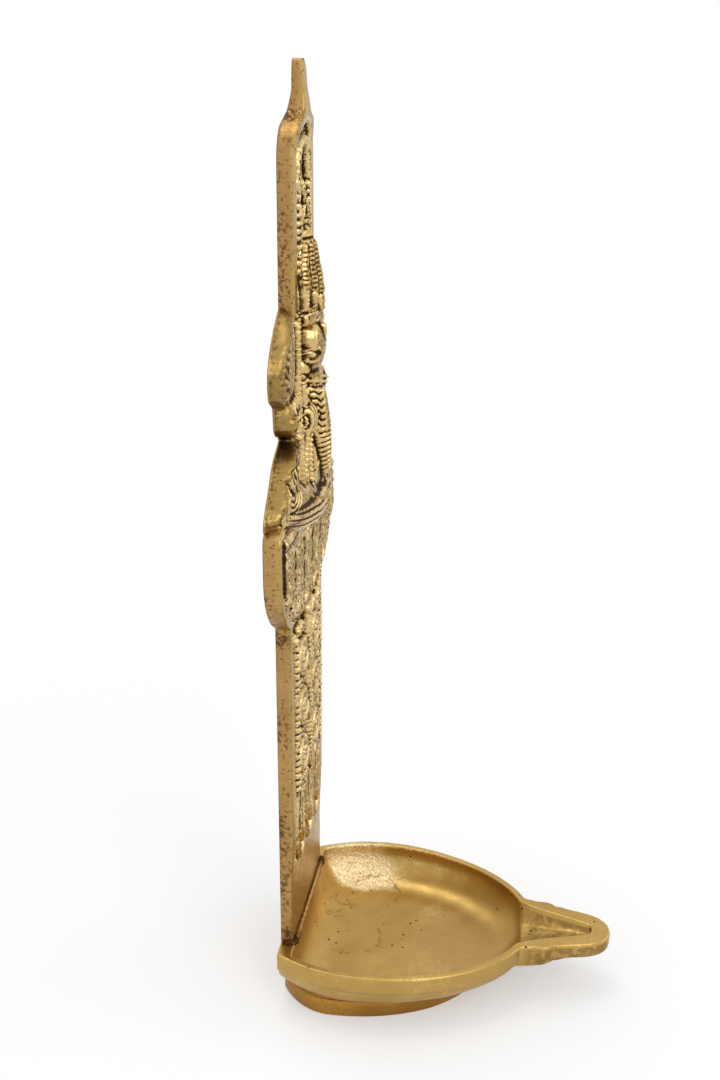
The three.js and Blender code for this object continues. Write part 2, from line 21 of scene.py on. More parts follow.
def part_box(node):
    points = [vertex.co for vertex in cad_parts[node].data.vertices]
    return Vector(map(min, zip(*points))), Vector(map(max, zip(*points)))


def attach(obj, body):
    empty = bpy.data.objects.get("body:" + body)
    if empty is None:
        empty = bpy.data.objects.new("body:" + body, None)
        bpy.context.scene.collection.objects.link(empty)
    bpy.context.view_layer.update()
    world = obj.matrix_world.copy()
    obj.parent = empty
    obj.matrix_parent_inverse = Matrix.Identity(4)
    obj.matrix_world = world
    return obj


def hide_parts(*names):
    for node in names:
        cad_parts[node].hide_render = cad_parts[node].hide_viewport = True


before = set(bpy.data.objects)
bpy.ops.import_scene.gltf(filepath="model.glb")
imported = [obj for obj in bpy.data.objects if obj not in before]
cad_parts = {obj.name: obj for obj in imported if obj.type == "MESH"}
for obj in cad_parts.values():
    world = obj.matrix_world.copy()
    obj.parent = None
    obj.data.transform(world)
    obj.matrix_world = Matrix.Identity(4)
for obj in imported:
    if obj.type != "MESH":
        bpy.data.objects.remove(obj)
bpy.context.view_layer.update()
LOG = logging.getLogger("wall_lamp")

Array = np.ndarray
Piece = bpy.types.Object
Material = bpy.types.Material
Node = bpy.types.Node
Socket = bpy.types.NodeSocket
Tree = bpy.types.NodeTree
Finishes = dict[str, Material]
Point = tuple[float, float]
Point3 = tuple[float, float, float]
Colour = tuple[float, float, float]

MM = 0.001
WALL_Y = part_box("back_plate")[1].y
RIM_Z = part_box("back_plate")[0].z / MM
TOP_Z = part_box("back_plate")[1].z / MM
BOWL_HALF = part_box("oil_bowl")[1].x / MM
SPOUT_REACH = (WALL_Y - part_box("oil_bowl")[0].y) / MM
FOOT_TOP_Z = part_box("bowl_foot")[1].z / MM
CAVITY = "cavity"
PLAIN_CAVITY, STEP_CAVITY, SHARP_CAVITY, FINE_CAVITY = 0.42, 0.30, 1.6, 1.3


class Body(Enum):
    """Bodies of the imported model."""

    ROOT = "root"


class Slot(Enum):
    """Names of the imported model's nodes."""

    PLATE = "back_plate"
    FIGURE = "ganesha_relief"
    BOWL = "oil_bowl"
    FOOT = "bowl_foot"
    BRAZE = "joint_bead"


def to_frame(points: Array) -> Array:
    """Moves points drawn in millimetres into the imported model's frame, in metres."""
    return points * MM + np.array([0.0, WALL_Y, 0.0])


def joined(*parts: Array) -> Array:
    """Coordinates side by side, one point in each row."""
    return np.stack(parts, axis=-1)


def curve_through(points: Sequence[Point], steps: int = 8) -> Array:
    """Draws a smooth curve through points.

    Args:
        points: The points to pass, in order.
        steps: Straight pieces between two points.

    Returns:
        Rows of x, z along the curve.
    """
    given = np.array(points, float)
    padded = np.vstack([2 * given[0] - given[1], given, 2 * given[-1] - given[-2]])
    share = np.linspace(0, 1, steps, endpoint=False)[:, None]
    pieces = []
    for a, b, c, d in zip(padded, padded[1:], padded[2:], padded[3:]):
        linear = (c - a) * share
        square = (2 * a - 5 * b + 4 * c - d) * share**2
        cubic = (3 * b - a - 3 * c + d) * share**3
        pieces.append(b + (linear + square + cubic) / 2)
    return np.vstack([*pieces, given[-1:]])


def drawn(base: float, *points: Point, side: int = 1, steps: int = 8) -> Array:
    """A smooth curve through points given as a distance from the middle, on one side, and a rise."""
    return curve_through([(side * x, base + z) for x, z in points], steps)


def arc(centre: Point, half: Point, start: float, end: float, count: int) -> Array:
    """Part of an ellipse, between two angles in degrees anticlockwise from +x."""
    turn = np.linspace(math.radians(start), math.radians(end), count)
    return joined(centre[0] + half[0] * np.cos(turn), centre[1] + half[1] * np.sin(turn))


def mirrored(path: Array) -> Array:
    """The same path on the other side of the middle."""
    return path * np.array([-1.0, 1.0])


def blurred(values: Array, passes: int) -> Array:
    """Softens a grid of values.

    Args:
        values: The grid.
        passes: How often each value is averaged with its four neighbours.

    Returns:
        The softened grid.
    """
    for _ in range(passes):
        wide = np.pad(values, 1, mode="edge")
        around = wide[:-2, 1:-1] + wide[2:, 1:-1] + wide[1:-1, :-2] + wide[1:-1, 2:]
        values = (around + 4 * values) / 8
    return values


def highest_near(values: Array, reach: int) -> Array:
    """The greatest value within a number of steps of each place of a grid."""
    for axis in (0, 1):
        margin = [(reach, reach) if side == axis else (0, 0) for side in (0, 1)]
        wide = np.pad(values, margin, mode="edge")
        windows = np.lib.stride_tricks.sliding_window_view(wide, 2 * reach + 1, axis=axis)
        values = windows.max(axis=-1)
    return values


def ripple(x: Array, z: Array, size: float, seed: float) -> Array:
    """Low, uneven waves for hand-finished metal.

    Args:
        x: First coordinates in millimetres.
        z: Second coordinates in millimetres.
        size: Length of the longest wave.
        seed: Shifts the pattern.

    Returns:
        Values between about -1 and 1.
    """
    turn = 2 * math.pi / size
    first = np.sin(turn * (x + 0.37 * z) + seed)
    second = np.sin(turn * 1.83 * (z - 0.41 * x) + 2.1 * seed)
    third = np.sin(turn * 3.1 * (0.8 * x + z) + 0.7 * seed)
    return (first + second + third) / 3


@dataclass
class ReliefCanvas:
    """Height of a carved front in front of the wall, over a grid of points.

    Attributes:
        x: Across, by row and column.
        z: Up, by row and column, growing from row to row.
        height: Distance from the wall.
    """

    x: Array
    z: Array
    height: Array

    @classmethod
    def over(cls, levels: Array, half: Array, columns: int, ground: float) -> ReliefCanvas:
        """Makes a level canvas.

        Args:
            levels: Height of each row above the foot's underside.
            half: Half width of each row.
            columns: Points in a row.
            ground: Distance from the wall.

        Returns:
            The canvas.
        """
        across = np.linspace(-1, 1, columns)
        x = half[:, None] * across[None, :]
        z = np.repeat(levels[:, None], columns, axis=1)
        return cls(x, z, np.full(x.shape, ground, float))

    def rows(self, low: float, high: float) -> slice:
        """The rows between two heights."""
        column = self.z[:, 0]
        return slice(int(np.searchsorted(column, low)), int(np.searchsorted(column, high)))

    def at(self, x: float, z: float) -> float:
        """The carved height at a place."""
        row = min(int(np.searchsorted(self.z[:, 0], z)), len(self.z) - 1)
        return float(np.interp(x, self.x[row], self.height[row]))

    def merge(self, rows: slice, form: Array, inside: Array, blend: float) -> None:
        """Raises the surface to a form where the form is higher.

        Args:
            rows: The rows that the form covers.
            form: The form's height.
            inside: Where the form exists.
            blend: How softly it runs into what is there.
        """
        old = self.height[rows]
        raised = np.maximum(old, form)
        if blend > 0:
            raised = raised + np.maximum(blend - np.abs(old - form), 0) ** 2 / (4 * blend)
        self.height[rows] = np.where(inside, raised, old)

    def dome(
        self, centre: Point, half: Point, crest: float, depth: float, tilt: float = 0, blend: float = 0.6
    ) -> None:
        """Raises a flattened ball.

        Args:
            centre: Its middle.
            half: Its half width and half height.
            crest: Distance of its top from the wall.
            depth: Fall from its top to its rim.
            tilt: Turn in degrees, which leans the top of a positive one to +x.
            blend: How softly it runs into what is there.
        """
        rows = self.rows(centre[1] - max(half), centre[1] + max(half))
        inner = self.lens(rows, centre, half, tilt)
        form = crest - depth * (1 - np.sqrt(np.clip(inner, 0, 1)))
        self.merge(rows, form, inner > 0, blend)

    def lens(self, rows: slice, centre: Point, half: Point, tilt: float) -> Array:
        """One at the middle of an ellipse, zero on it and less outside."""
        turn = math.radians(tilt)
        dx = self.x[rows] - centre[0]
        dz = self.z[rows] - centre[1]
        across = (math.cos(turn) * dx - math.sin(turn) * dz) / half[0]
        along = (math.sin(turn) * dx + math.cos(turn) * dz) / half[1]
        return 1 - across**2 - along**2

    def swell(self, centre: Point, half: Point, height: float, tilt: float = 0) -> None:
        """Adds a soft swelling, or a dish where the height is negative."""
        rows = self.rows(centre[1] - max(half), centre[1] + max(half))
        inner = np.clip(self.lens(rows, centre, half, tilt), 0, 1)
        self.height[rows] += height * inner**1.5

    def nearest(self, path: Array, reach: float) -> tuple[slice, Array, Array, float]:
        """Measures how far the surface's points are from a path.

        Args:
            path: Rows of x, z.
            reach: How far from the path matters.

        Returns:
            The rows near the path, the distance, the share of the path's length, and that length.
        """
        rows = self.rows(path[:, 1].min() - reach, path[:, 1].max() + reach)
        x, z = self.x[rows], self.z[rows]
        steps = np.hypot(*np.diff(path, axis=0).T)
        starts = np.concatenate([[0], np.cumsum(steps)])
        distance = np.full(x.shape, np.inf)
        share = np.zeros(x.shape)
        for a, b, start, step in zip(path, path[1:], starts, steps):
            dx, dz = (b - a) / max(step, 1e-9)
            along = np.clip((x - a[0]) * dx + (z - a[1]) * dz, 0, step)
            away = np.hypot(x - a[0] - along * dx, z - a[1] - along * dz)
            closer = away < distance
            distance = np.where(closer, away, distance)
            share = np.where(closer, (start + along) / starts[-1], share)
        return rows, distance, share, float(starts[-1])

    def tube(
        self, path: Array, radii: float | Sequence[float], crests: float | Sequence[float],
        blend: float = 0.5, ring_pitch: float = 0, ring_depth: float = 0,
    ) -> None:
        """Raises a round limb along a path.

        Args:
            path: Rows of x, z.
            radii: Radius, or radii at even shares of the path.
            crests: Distance of its top from the wall, or distances at even shares of the path.
            blend: How softly it runs into what is there.
            ring_pitch: Distance between folds across it, or 0 for none.
            ring_depth: Depth of those folds.
        """
        radii, crests = np.atleast_1d(radii), np.atleast_1d(crests)
        rows, distance, share, length = self.nearest(path, radii.max())
        radius = np.interp(share, np.linspace(0, 1, len(radii)), radii)
        crest = np.interp(share, np.linspace(0, 1, len(crests)), crests)
        inner = 1 - (distance / radius) ** 2
        form = crest - radius * (1 - np.sqrt(np.clip(inner, 0, 1)))
        if ring_pitch > 0:
            form = form - ring_depth * (0.5 + 0.5 * np.cos(2 * math.pi * share * length / ring_pitch)) ** 3
        self.merge(rows, form, inner > 0, blend)

    def emboss(self, path: Array, half_width: float, height: float, taper: bool = False) -> None:
        """Adds a fine ridge along a path, or a groove where the height is negative.

        Args:
            path: Rows of x, z.
            half_width: Half its width.
            height: How far it stands above what it is on.
            taper: Whether it thins out towards both ends.
        """
        rows, distance, share, _ = self.nearest(path, half_width)
        width = half_width * np.sqrt(np.clip(1.05 - (2 * share - 1) ** 2, 0.02, 1)) if taper else half_width
        inner = np.clip(1 - (distance / width) ** 2, 0, 1)
        self.height[rows] += height * inner

    def stipple(self, cover: Array, depth: float, seed: int) -> None:
        """Roughens part of the surface with small uneven pits.

        Args:
            cover: How much of the roughness each point gets.
            depth: Depth of the pits.
            seed: Picks the pattern.
        """
        grains = np.random.default_rng(seed).normal(0, 1, self.height.shape)
        soft = blurred(grains, 2)
        self.height += depth * cover * np.clip(soft / max(float(soft.std()), 1e-6), -2.2, 1.4)

    def ground_cover(self, level: float, reach: float = 0.5) -> Array:
        """One where the surface lies at a level or lower, falling to zero a little above it."""
        return np.clip((level + reach - self.height) / reach, 0, 1)

    def closed(self, side: Array, half: Array, back: Array) -> Array:
        """Closes the front all round.

        Args:
            side: Points of the right side by row, from the front to the back.
            half: Half width of each row's back.
            back: Place of each row's back, as y.

        Returns:
            Points by row and place: the front, the right side, the back and the mirrored left side.
        """
        front = joined(self.x, -self.height, self.z)
        left = side[:, ::-1] * np.array([-1.0, 1.0, 1.0])
        shares = np.linspace(1, -1, 9)[1:-1]
        behind = np.stack([joined(half * share, back, self.z[:, 0]) for share in shares], axis=1)
        return np.concatenate([front, side, behind, left], axis=1)

    def cavity(self) -> Array:
        """How deep each point lies below what is round it, from 0 for an edge to 1 for a recess."""
        sharp = blurred(self.height, 3) - self.height
        fine = blurred(self.height, 16) - self.height
        top = blurred(highest_near(self.height, 3), 4)
        low = blurred(-highest_near(-self.height, 3), 4)
        share = np.clip((top - self.height) / np.maximum(top - low, 0.3), 0, 1)
        carved = np.clip((top - low) / 0.9, 0, 1)
        stepped = PLAIN_CAVITY + STEP_CAVITY * share * carved
        return np.clip(stepped + sharp * SHARP_CAVITY + fine * FINE_CAVITY, 0, 1)


def skinned(rings: Array) -> tuple[Array, Array, Array]:
    """Joins rings into a closed skin.

    Args:
        rings: Points by ring and place, from the lowest ring to the highest, anticlockwise from above.

    Returns:
        The points, the four-cornered faces of the side, and the three-cornered faces of both ends.
    """
    count, around = rings.shape[:2]
    index = np.arange(count * around).reshape(count, around)
    after = np.roll(index, -1, axis=1)
    sides = joined(index[:-1], after[:-1], after[1:], index[1:]).reshape(-1, 4)
    middles = np.stack([rings[0].mean(axis=0), rings[-1].mean(axis=0)])
    low = np.full(around, count * around)
    bottom = joined(low, after[0], index[0])
    top = joined(low + 1, index[-1], after[-1])
    points = np.vstack([rings.reshape(-1, 3), middles])
    return points, sides, np.vstack([bottom, top])


def linked(name: str, data: bpy.types.ID) -> Piece:
    """Makes an object of some data in the scene."""
    piece = bpy.data.objects.new(name, data)
    bpy.context.scene.collection.objects.link(piece)
    return piece


def baked(piece: Piece) -> bpy.types.Mesh:
    """A piece's mesh with its modifiers applied."""
    graph = bpy.context.evaluated_depsgraph_get()
    return bpy.data.meshes.new_from_object(piece.evaluated_get(graph))


def new_mesh(name: str, points: Array, faces: Sequence[Sequence[int]]) -> Piece:
    """Makes an object from points and faces as they are given, with smooth shading."""
    mesh = bpy.data.meshes.new(name)
    mesh.from_pydata(points.tolist(), [], faces)
    mesh.update()
    mesh.polygons.foreach_set("use_smooth", np.ones(len(mesh.polygons), bool))
    return linked(name, mesh)


def skin_mesh(name: str, rings: Array | Sequence[Array], framed: bool = True) -> Piece:
    """Makes an object from rings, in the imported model's frame or, for a cutting tool, as drawn."""
    points, sides, ends = skinned(np.stack(rings))
    return new_mesh(name, to_frame(points) if framed else points, sides.tolist() + ends.tolist())


def store_values(piece: Piece, name: str, values: Array) -> None:
    """Keeps one value for each point of a piece, for its material to read."""
    layer = piece.data.attributes.new(name=name, type="FLOAT", domain="POINT")
    layer.data.foreach_set("value", values.astype(np.float32))


def fix_to_body(piece: Piece, slot: Slot, stands_for: bool) -> None:
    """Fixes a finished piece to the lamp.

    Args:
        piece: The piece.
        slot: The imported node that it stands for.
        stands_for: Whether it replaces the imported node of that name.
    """
    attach(piece, Body.ROOT.value)
    if stands_for:
        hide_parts(slot.value)
    LOG.info("made %s with %d faces", piece.name, len(piece.data.polygons))


class NodeSheet:
    """Adds nodes to a tree and joins them."""

    def __init__(self, tree: Tree) -> None:
        """Starts on an existing tree."""
        self.tree = tree

    def add(self, kind: str, inputs: dict | None = None, **settings: object) -> Node:
        """Adds a node.

        Args:
            kind: The node's type.
            inputs: A value or an output socket for each named or numbered input.
            **settings: The node's own properties.

        Returns:
            The node.
        """
        node = self.tree.nodes.new(kind)
        for name, value in settings.items():
            setattr(node, name, value)
        for key, value in (inputs or {}).items():
            self.feed(node.inputs[key], value)
        return node

    def feed(self, socket: Socket, value: object) -> None:
        """Gives an input a plain value, or joins it to an output."""
        if isinstance(value, Socket):
            self.tree.links.new(value, socket)
        else:
            socket.default_value = value

    def math(self, operation: str, first: object, second: object = 0.0, clamp: bool = False) -> Socket:
        """The result of one sum on two values."""
        node = self.add("ShaderNodeMath", {0: first, 1: second}, operation=operation, use_clamp=clamp)
        return node.outputs[0]

    def times(self, first: object, second: object, clamp: bool = False) -> Socket:
        """The product of two values."""
        return self.math("MULTIPLY", first, second, clamp)

    def plus(self, first: object, second: object, clamp: bool = False) -> Socket:
        """The sum of two values."""
        return self.math("ADD", first, second, clamp)

    def minus(self, first: object, second: object) -> Socket:
        """The first value less the second."""
        return self.math("SUBTRACT", first, second)

    def larger(self, first: object, second: object) -> Socket:
        """The larger of two values."""
        return self.math("MAXIMUM", first, second)

    def step(self, value: object, low: float, high: float, to_low: float = 0, to_high: float = 1) -> Socket:
        """A soft step from one value to another as the input goes from low to high."""
        inputs = {"Value": value, "From Min": low, "From Max": high, "To Min": to_low, "To Max": to_high}
        return self.add("ShaderNodeMapRange", inputs, interpolation_type="SMOOTHSTEP").outputs["Result"]

    def blend(self, factor: object, first: object, second: object) -> Socket:
        """Mixes two colours."""
        inputs = {"Factor": factor, "A": first, "B": second}
        return self.add("ShaderNodeMix", inputs, data_type="RGBA").outputs["Result"]

    def place(self, stretch: Point3 = (1, 1, 1), shift: Point3 = (0, 0, 0)) -> Socket:
        """The surface's own place in metres, shifted and then stretched."""
        here = self.add("ShaderNodeTexCoord").outputs["Object"]
        moved = self.add("ShaderNodeVectorMath", {0: here, 1: shift}, operation="SUBTRACT").outputs[0]
        return self.add("ShaderNodeVectorMath", {0: moved, 1: stretch}, operation="MULTIPLY").outputs[0]

    def noise(self, vector: object, scale: object, detail: float = 3, roughness: float = 0.55) -> Socket:
        """Cloudy values between 0 and 1."""
        inputs = {"Vector": vector, "Scale": scale, "Detail": detail, "Roughness": roughness}
        return self.add("ShaderNodeTexNoise", inputs).outputs["Fac"]


def rgba(colour: Colour, share: float = 1.0) -> tuple[float, float, float, float]:
    """A colour, made lighter or darker by a share, with full cover."""
    return (*(share * part for part in colour), 1.0)


class FinishGroups:
    """Shader groups that more than one finish uses."""

    def __init__(self) -> None:
        """Builds each group once."""
        self.grain = self._grain()
        self.file_marks = self._file_marks()
        self.patina = self._patina()

    @staticmethod
    def _tree(name: str, inputs: dict[str, object], outputs: Sequence[str]) -> NodeSheet:
        """Starts a group.

        Args:
            name: The group's name.
            inputs: The default of each input: a number, or a colour.
            outputs: The label of each output; one called Color is a colour.

        Returns:
            A sheet on the new group.
        """
        tree = bpy.data.node_groups.new(name, "ShaderNodeTree")
        for label, value in inputs.items():
            kind = "NodeSocketColor" if isinstance(value, tuple) else "NodeSocketFloat"
            socket = tree.interface.new_socket(label, in_out="INPUT", socket_type=kind)
            socket.default_value = value
        for label in outputs:
            kind = "NodeSocketColor" if label == "Color" else "NodeSocketFloat"
            tree.interface.new_socket(label, in_out="OUTPUT", socket_type=kind)
        return NodeSheet(tree)

    def _grain(self) -> Tree:
        """Fine cast grain, with scattered pits."""
        sheet = self._tree(
            "cast_grain",
            {"Scale": 900.0, "Depth": 0.00004, "Pit Scale": 320.0, "Pit Size": 0.16, "Pit Depth": 0.00025},
            ("Height", "Pits", "Cloud"),
        )
        given = sheet.add("NodeGroupInput").outputs
        here = sheet.place()
        fine = sheet.noise(here, given["Scale"], 4, 0.65)
        cells = sheet.add(
            "ShaderNodeTexVoronoi", {"Vector": here, "Scale": given["Pit Scale"], "Randomness": 1.0}
        )
        chosen = sheet.step(sheet.noise(here, 95.0, 2), 0.5, 0.62)
        reach = sheet.times(given["Pit Size"], chosen)
        inside = sheet.minus(reach, cells.outputs["Distance"])
        pits = sheet.times(inside, 14.0, clamp=True)
        low = sheet.times(pits, given["Pit Depth"])
        high = sheet.times(fine, given["Depth"])
        result = {"Height": sheet.minus(high, low), "Pits": pits, "Cloud": sheet.noise(here, 38.0, 4, 0.6)}
        sheet.add("NodeGroupOutput", result)
        return sheet.tree

    def _file_marks(self) -> Tree:
        """Short strokes of a file across a narrow face."""
        sheet = self._tree(
            "file_marks",
            {"Across": 260.0, "Along": 2400.0, "Depth": 0.00006},
            ("Height", "Streak"),
        )
        given = sheet.add("NodeGroupInput").outputs
        here = sheet.place()
        stretch = sheet.add(
            "ShaderNodeCombineXYZ", {0: given["Across"], 1: given["Across"], 2: given["Along"]}
        )
        scaled = {0: here, 1: stretch.outputs[0]}
        strokes = sheet.add("ShaderNodeVectorMath", scaled, operation="MULTIPLY").outputs[0]
        streak = sheet.noise(strokes, 1.0, 3, 0.7)
        sheet.add("NodeGroupOutput", {"Height": sheet.times(streak, given["Depth"]), "Streak": streak})
        return sheet.tree

    def _patina(self) -> Tree:
        """Brown patina in the recesses, and bright on the heights: partly wear, partly painted highlight."""
        sheet = self._tree(
            "recess_patina_and_highlight",
            {"Cavity": 0.5, "Cover": 1.0, "Bright": (1.0, 0.8, 0.5, 1.0), "Body": (0.6, 0.4, 0.2, 1.0),
             "Brown": (0.2, 0.1, 0.04, 1.0)},
            ("Color", "Recess", "Wear And Highlight"),
        )
        given = sheet.add("NodeGroupInput").outputs
        here = sheet.place()
        broken = sheet.minus(sheet.noise(here, 900.0, 4, 0.75), 0.5)
        level = sheet.plus(given["Cavity"], sheet.times(broken, 0.60))
        recess = sheet.times(sheet.step(level, 0.48, 0.67), given["Cover"])
        # The bright heights are partly wear and partly painted highlight.
        wear_and_highlight = sheet.step(level, 0.41, 0.20)
        tinted = sheet.blend(recess, given["Body"], given["Brown"])
        sheet.add(
            "NodeGroupOutput",
            {"Color": sheet.blend(wear_and_highlight, tinted, given["Bright"]), "Recess": recess, "Wear And Highlight": wear_and_highlight}
        )
        return sheet.tree


@dataclass(frozen=True)
class Surface:
    """A surface that is ready for its shader: colour, roughness and bumped normal."""

    colour: Socket
    rough: Socket
    normal: Socket


@dataclass(frozen=True)
class BrassFinish:
    """One brass surface.

    Attributes:
        name: The material's name.
        bright: Colour of worn heights, which also paints highlights on them.
        body: Colour of the plain surface.
        brown: Colour of recesses and old skin.
        roughness: Roughness of the plain surface.
        grain_depth: Height of the cast grain in metres.
        pit_depth: Depth of the pits in metres.
        file_depth: Height of file marks in metres.
        cavity: Whether the piece stores how deep its points lie.
        brown_cover: How far the brown covers the recesses.
        mottling: How much the colour changes over the surface.
    """

    name: str
    bright: Colour
    body: Colour
    brown: Colour
    roughness: float
    grain_depth: float = 0.00003
    pit_depth: float = 0.0002
    file_depth: float = 0.0
    cavity: bool = False
    brown_cover: float = 1.0
    mottling: float = 0.5

    def build(self, groups: FinishGroups) -> Material:
        """Makes the material.

        Args:
            groups: The shared shader groups.

        Returns:
            The material.
        """
        material = bpy.data.materials.new(self.name)
        material.use_nodes = True
        sheet = NodeSheet(material.node_tree)
        sheet.tree.nodes.clear()
        depths = {"Depth": self.grain_depth, "Pit Depth": self.pit_depth}
        grain = sheet.add("ShaderNodeGroup", depths, node_tree=groups.grain)
        if self.cavity:
            depth = sheet.add("ShaderNodeAttribute", attribute_name=CAVITY).outputs["Fac"]
        else:
            depth = sheet.step(grain.outputs["Cloud"], 0.25, 0.75, 0.30, 0.54)
        colours = {"Bright": rgba(self.bright), "Body": rgba(self.body), "Brown": rgba(self.brown)}
        inputs = {**colours, "Cover": self.brown_cover, "Cavity": depth}
        patina = sheet.add("ShaderNodeGroup", inputs, node_tree=groups.patina)
        cloud = sheet.step(grain.outputs["Cloud"], 0.38, 0.68, 0.0, self.mottling)
        darker = tuple(0.62 * part + 0.38 * other for part, other in zip(self.body, self.brown))
        mottled = sheet.blend(sheet.times(cloud, 0.7), patina.outputs["Color"], rgba(darker))
        pitted = sheet.blend(grain.outputs["Pits"], mottled, rgba(self.brown, 0.35))
        height = grain.outputs["Height"]
        rough = sheet.plus(sheet.step(grain.outputs["Cloud"], 0.3, 0.7, -0.05, 0.07), self.roughness)
        rough = sheet.plus(rough, sheet.times(patina.outputs["Recess"], 0.28))
        rough = sheet.minus(rough, sheet.times(patina.outputs["Wear And Highlight"], 0.08))
        if self.file_depth > 0:
            marks = sheet.add("ShaderNodeGroup", {"Depth": self.file_depth}, node_tree=groups.file_marks)
            height = sheet.plus(height, marks.outputs["Height"])
            streak = sheet.step(marks.outputs["Streak"], 0.42, 0.62, 0.0, 0.35)
            pitted = sheet.blend(streak, pitted, rgba(self.bright))
        rough = sheet.plus(rough, sheet.times(grain.outputs["Pits"], 0.3), clamp=True)
        bump = sheet.add("ShaderNodeBump", {"Height": height, "Distance": 1.0, "Strength": 1.0})
        made = self.extra(sheet, Surface(pitted, rough, bump.outputs[0]))
        inputs = {"Metallic": 1.0, "Base Color": made.colour, "Roughness": made.rough, "Normal": made.normal}
        shader = sheet.add("ShaderNodeBsdfPrincipled", inputs)
        sheet.add("ShaderNodeOutputMaterial", {"Surface": shader.outputs[0]})
        return material

    def extra(self, sheet: NodeSheet, made: Surface) -> Surface:
        """What this finish adds to the plain surface: nothing here."""
        return made


@dataclass(frozen=True)
class FiledEdgeFinish(BrassFinish):
    """The plate's edge: rough brown by the wall, filed in the middle, bright at the front.

    Attributes:
        thickness: Thickness of the plate in metres.
        scorched: Middle and half height of each rough brown patch in metres.
        front_colour: Colour of the worn strip at the front.
    """

    thickness: float = 0.005
    scorched: tuple[Point, ...] = ((0.297, 0.0022), (0.139, 0.0035), (0.202, 0.002), (0.026, 0.004))
    front_colour: Colour = (0.50, 0.35, 0.105)

    def extra(self, sheet: NodeSheet, made: Surface) -> Surface:
        """Adds the brown skin by the wall and the bright line at the front."""
        place = sheet.place(shift=(0.0, WALL_Y, 0.0))
        split = sheet.add("ShaderNodeSeparateXYZ", {0: place}).outputs
        depth = sheet.times(split[1], -1.0)
        share = sheet.math("DIVIDE", depth, self.thickness)
        stains = sheet.step(sheet.noise(place, 30.0, 2, 0.5), 0.47, 0.66, 0.0, 0.16)
        eaten = sheet.noise(place, 760.0, 4, 0.72)
        toward_wall = sheet.times(sheet.minus(1.0, share), stains)
        for centre, reach in self.scorched:
            away = sheet.math("ABSOLUTE", sheet.minus(split[2], centre))
            toward_wall = sheet.larger(toward_wall, sheet.step(away, reach, 0.3 * reach, 0.0, 0.15))
        level = sheet.plus(eaten, toward_wall)
        skin = sheet.step(level, 0.575, 0.66)
        deep = sheet.step(level, 0.66, 0.74)
        brown = sheet.blend(deep, rgba(self.brown, 1.5), rgba(self.brown, 0.5))
        covered = sheet.blend(sheet.times(skin, 0.85), made.colour, brown)
        dented = sheet.add("ShaderNodeBump", {"Height": sheet.times(skin, -0.00018), "Distance": 1.0})
        sheet.feed(dented.inputs["Normal"], made.normal)
        front = sheet.step(depth, 0.70 * self.thickness, 0.86 * self.thickness, 0.0, 0.45)
        gold = sheet.blend(front, covered, rgba(self.front_colour))
        rough = sheet.plus(made.rough, sheet.times(skin, 0.2), clamp=True)
        return Surface(gold, rough, dented.outputs[0])


@dataclass(frozen=True)
class BowlMarkOrHighlight:
    """A fold line, a stain, or the patch of painted highlight on the bowl's floor.

    Attributes:
        centre: Middle of its arc or patch, x and y in millimetres with the wall at y = 0.
        radius: Radius of the arc or patch in millimetres.
        stretch: How much its x and y are pressed together.
    """

    centre: Point
    radius: float
    stretch: Point = (1.0, 1.0)

    def reach(self, sheet: NodeSheet, wander: Socket) -> Socket:
        """Distance from the mark's middle in metres, made uneven."""
        x, y = self.centre
        place = sheet.place(stretch=(*self.stretch, 0), shift=(x * MM, WALL_Y + y * MM, 0.0))
        length = sheet.add("ShaderNodeVectorMath", {0: place}, operation="LENGTH").outputs["Value"]
        return sheet.plus(length, wander)


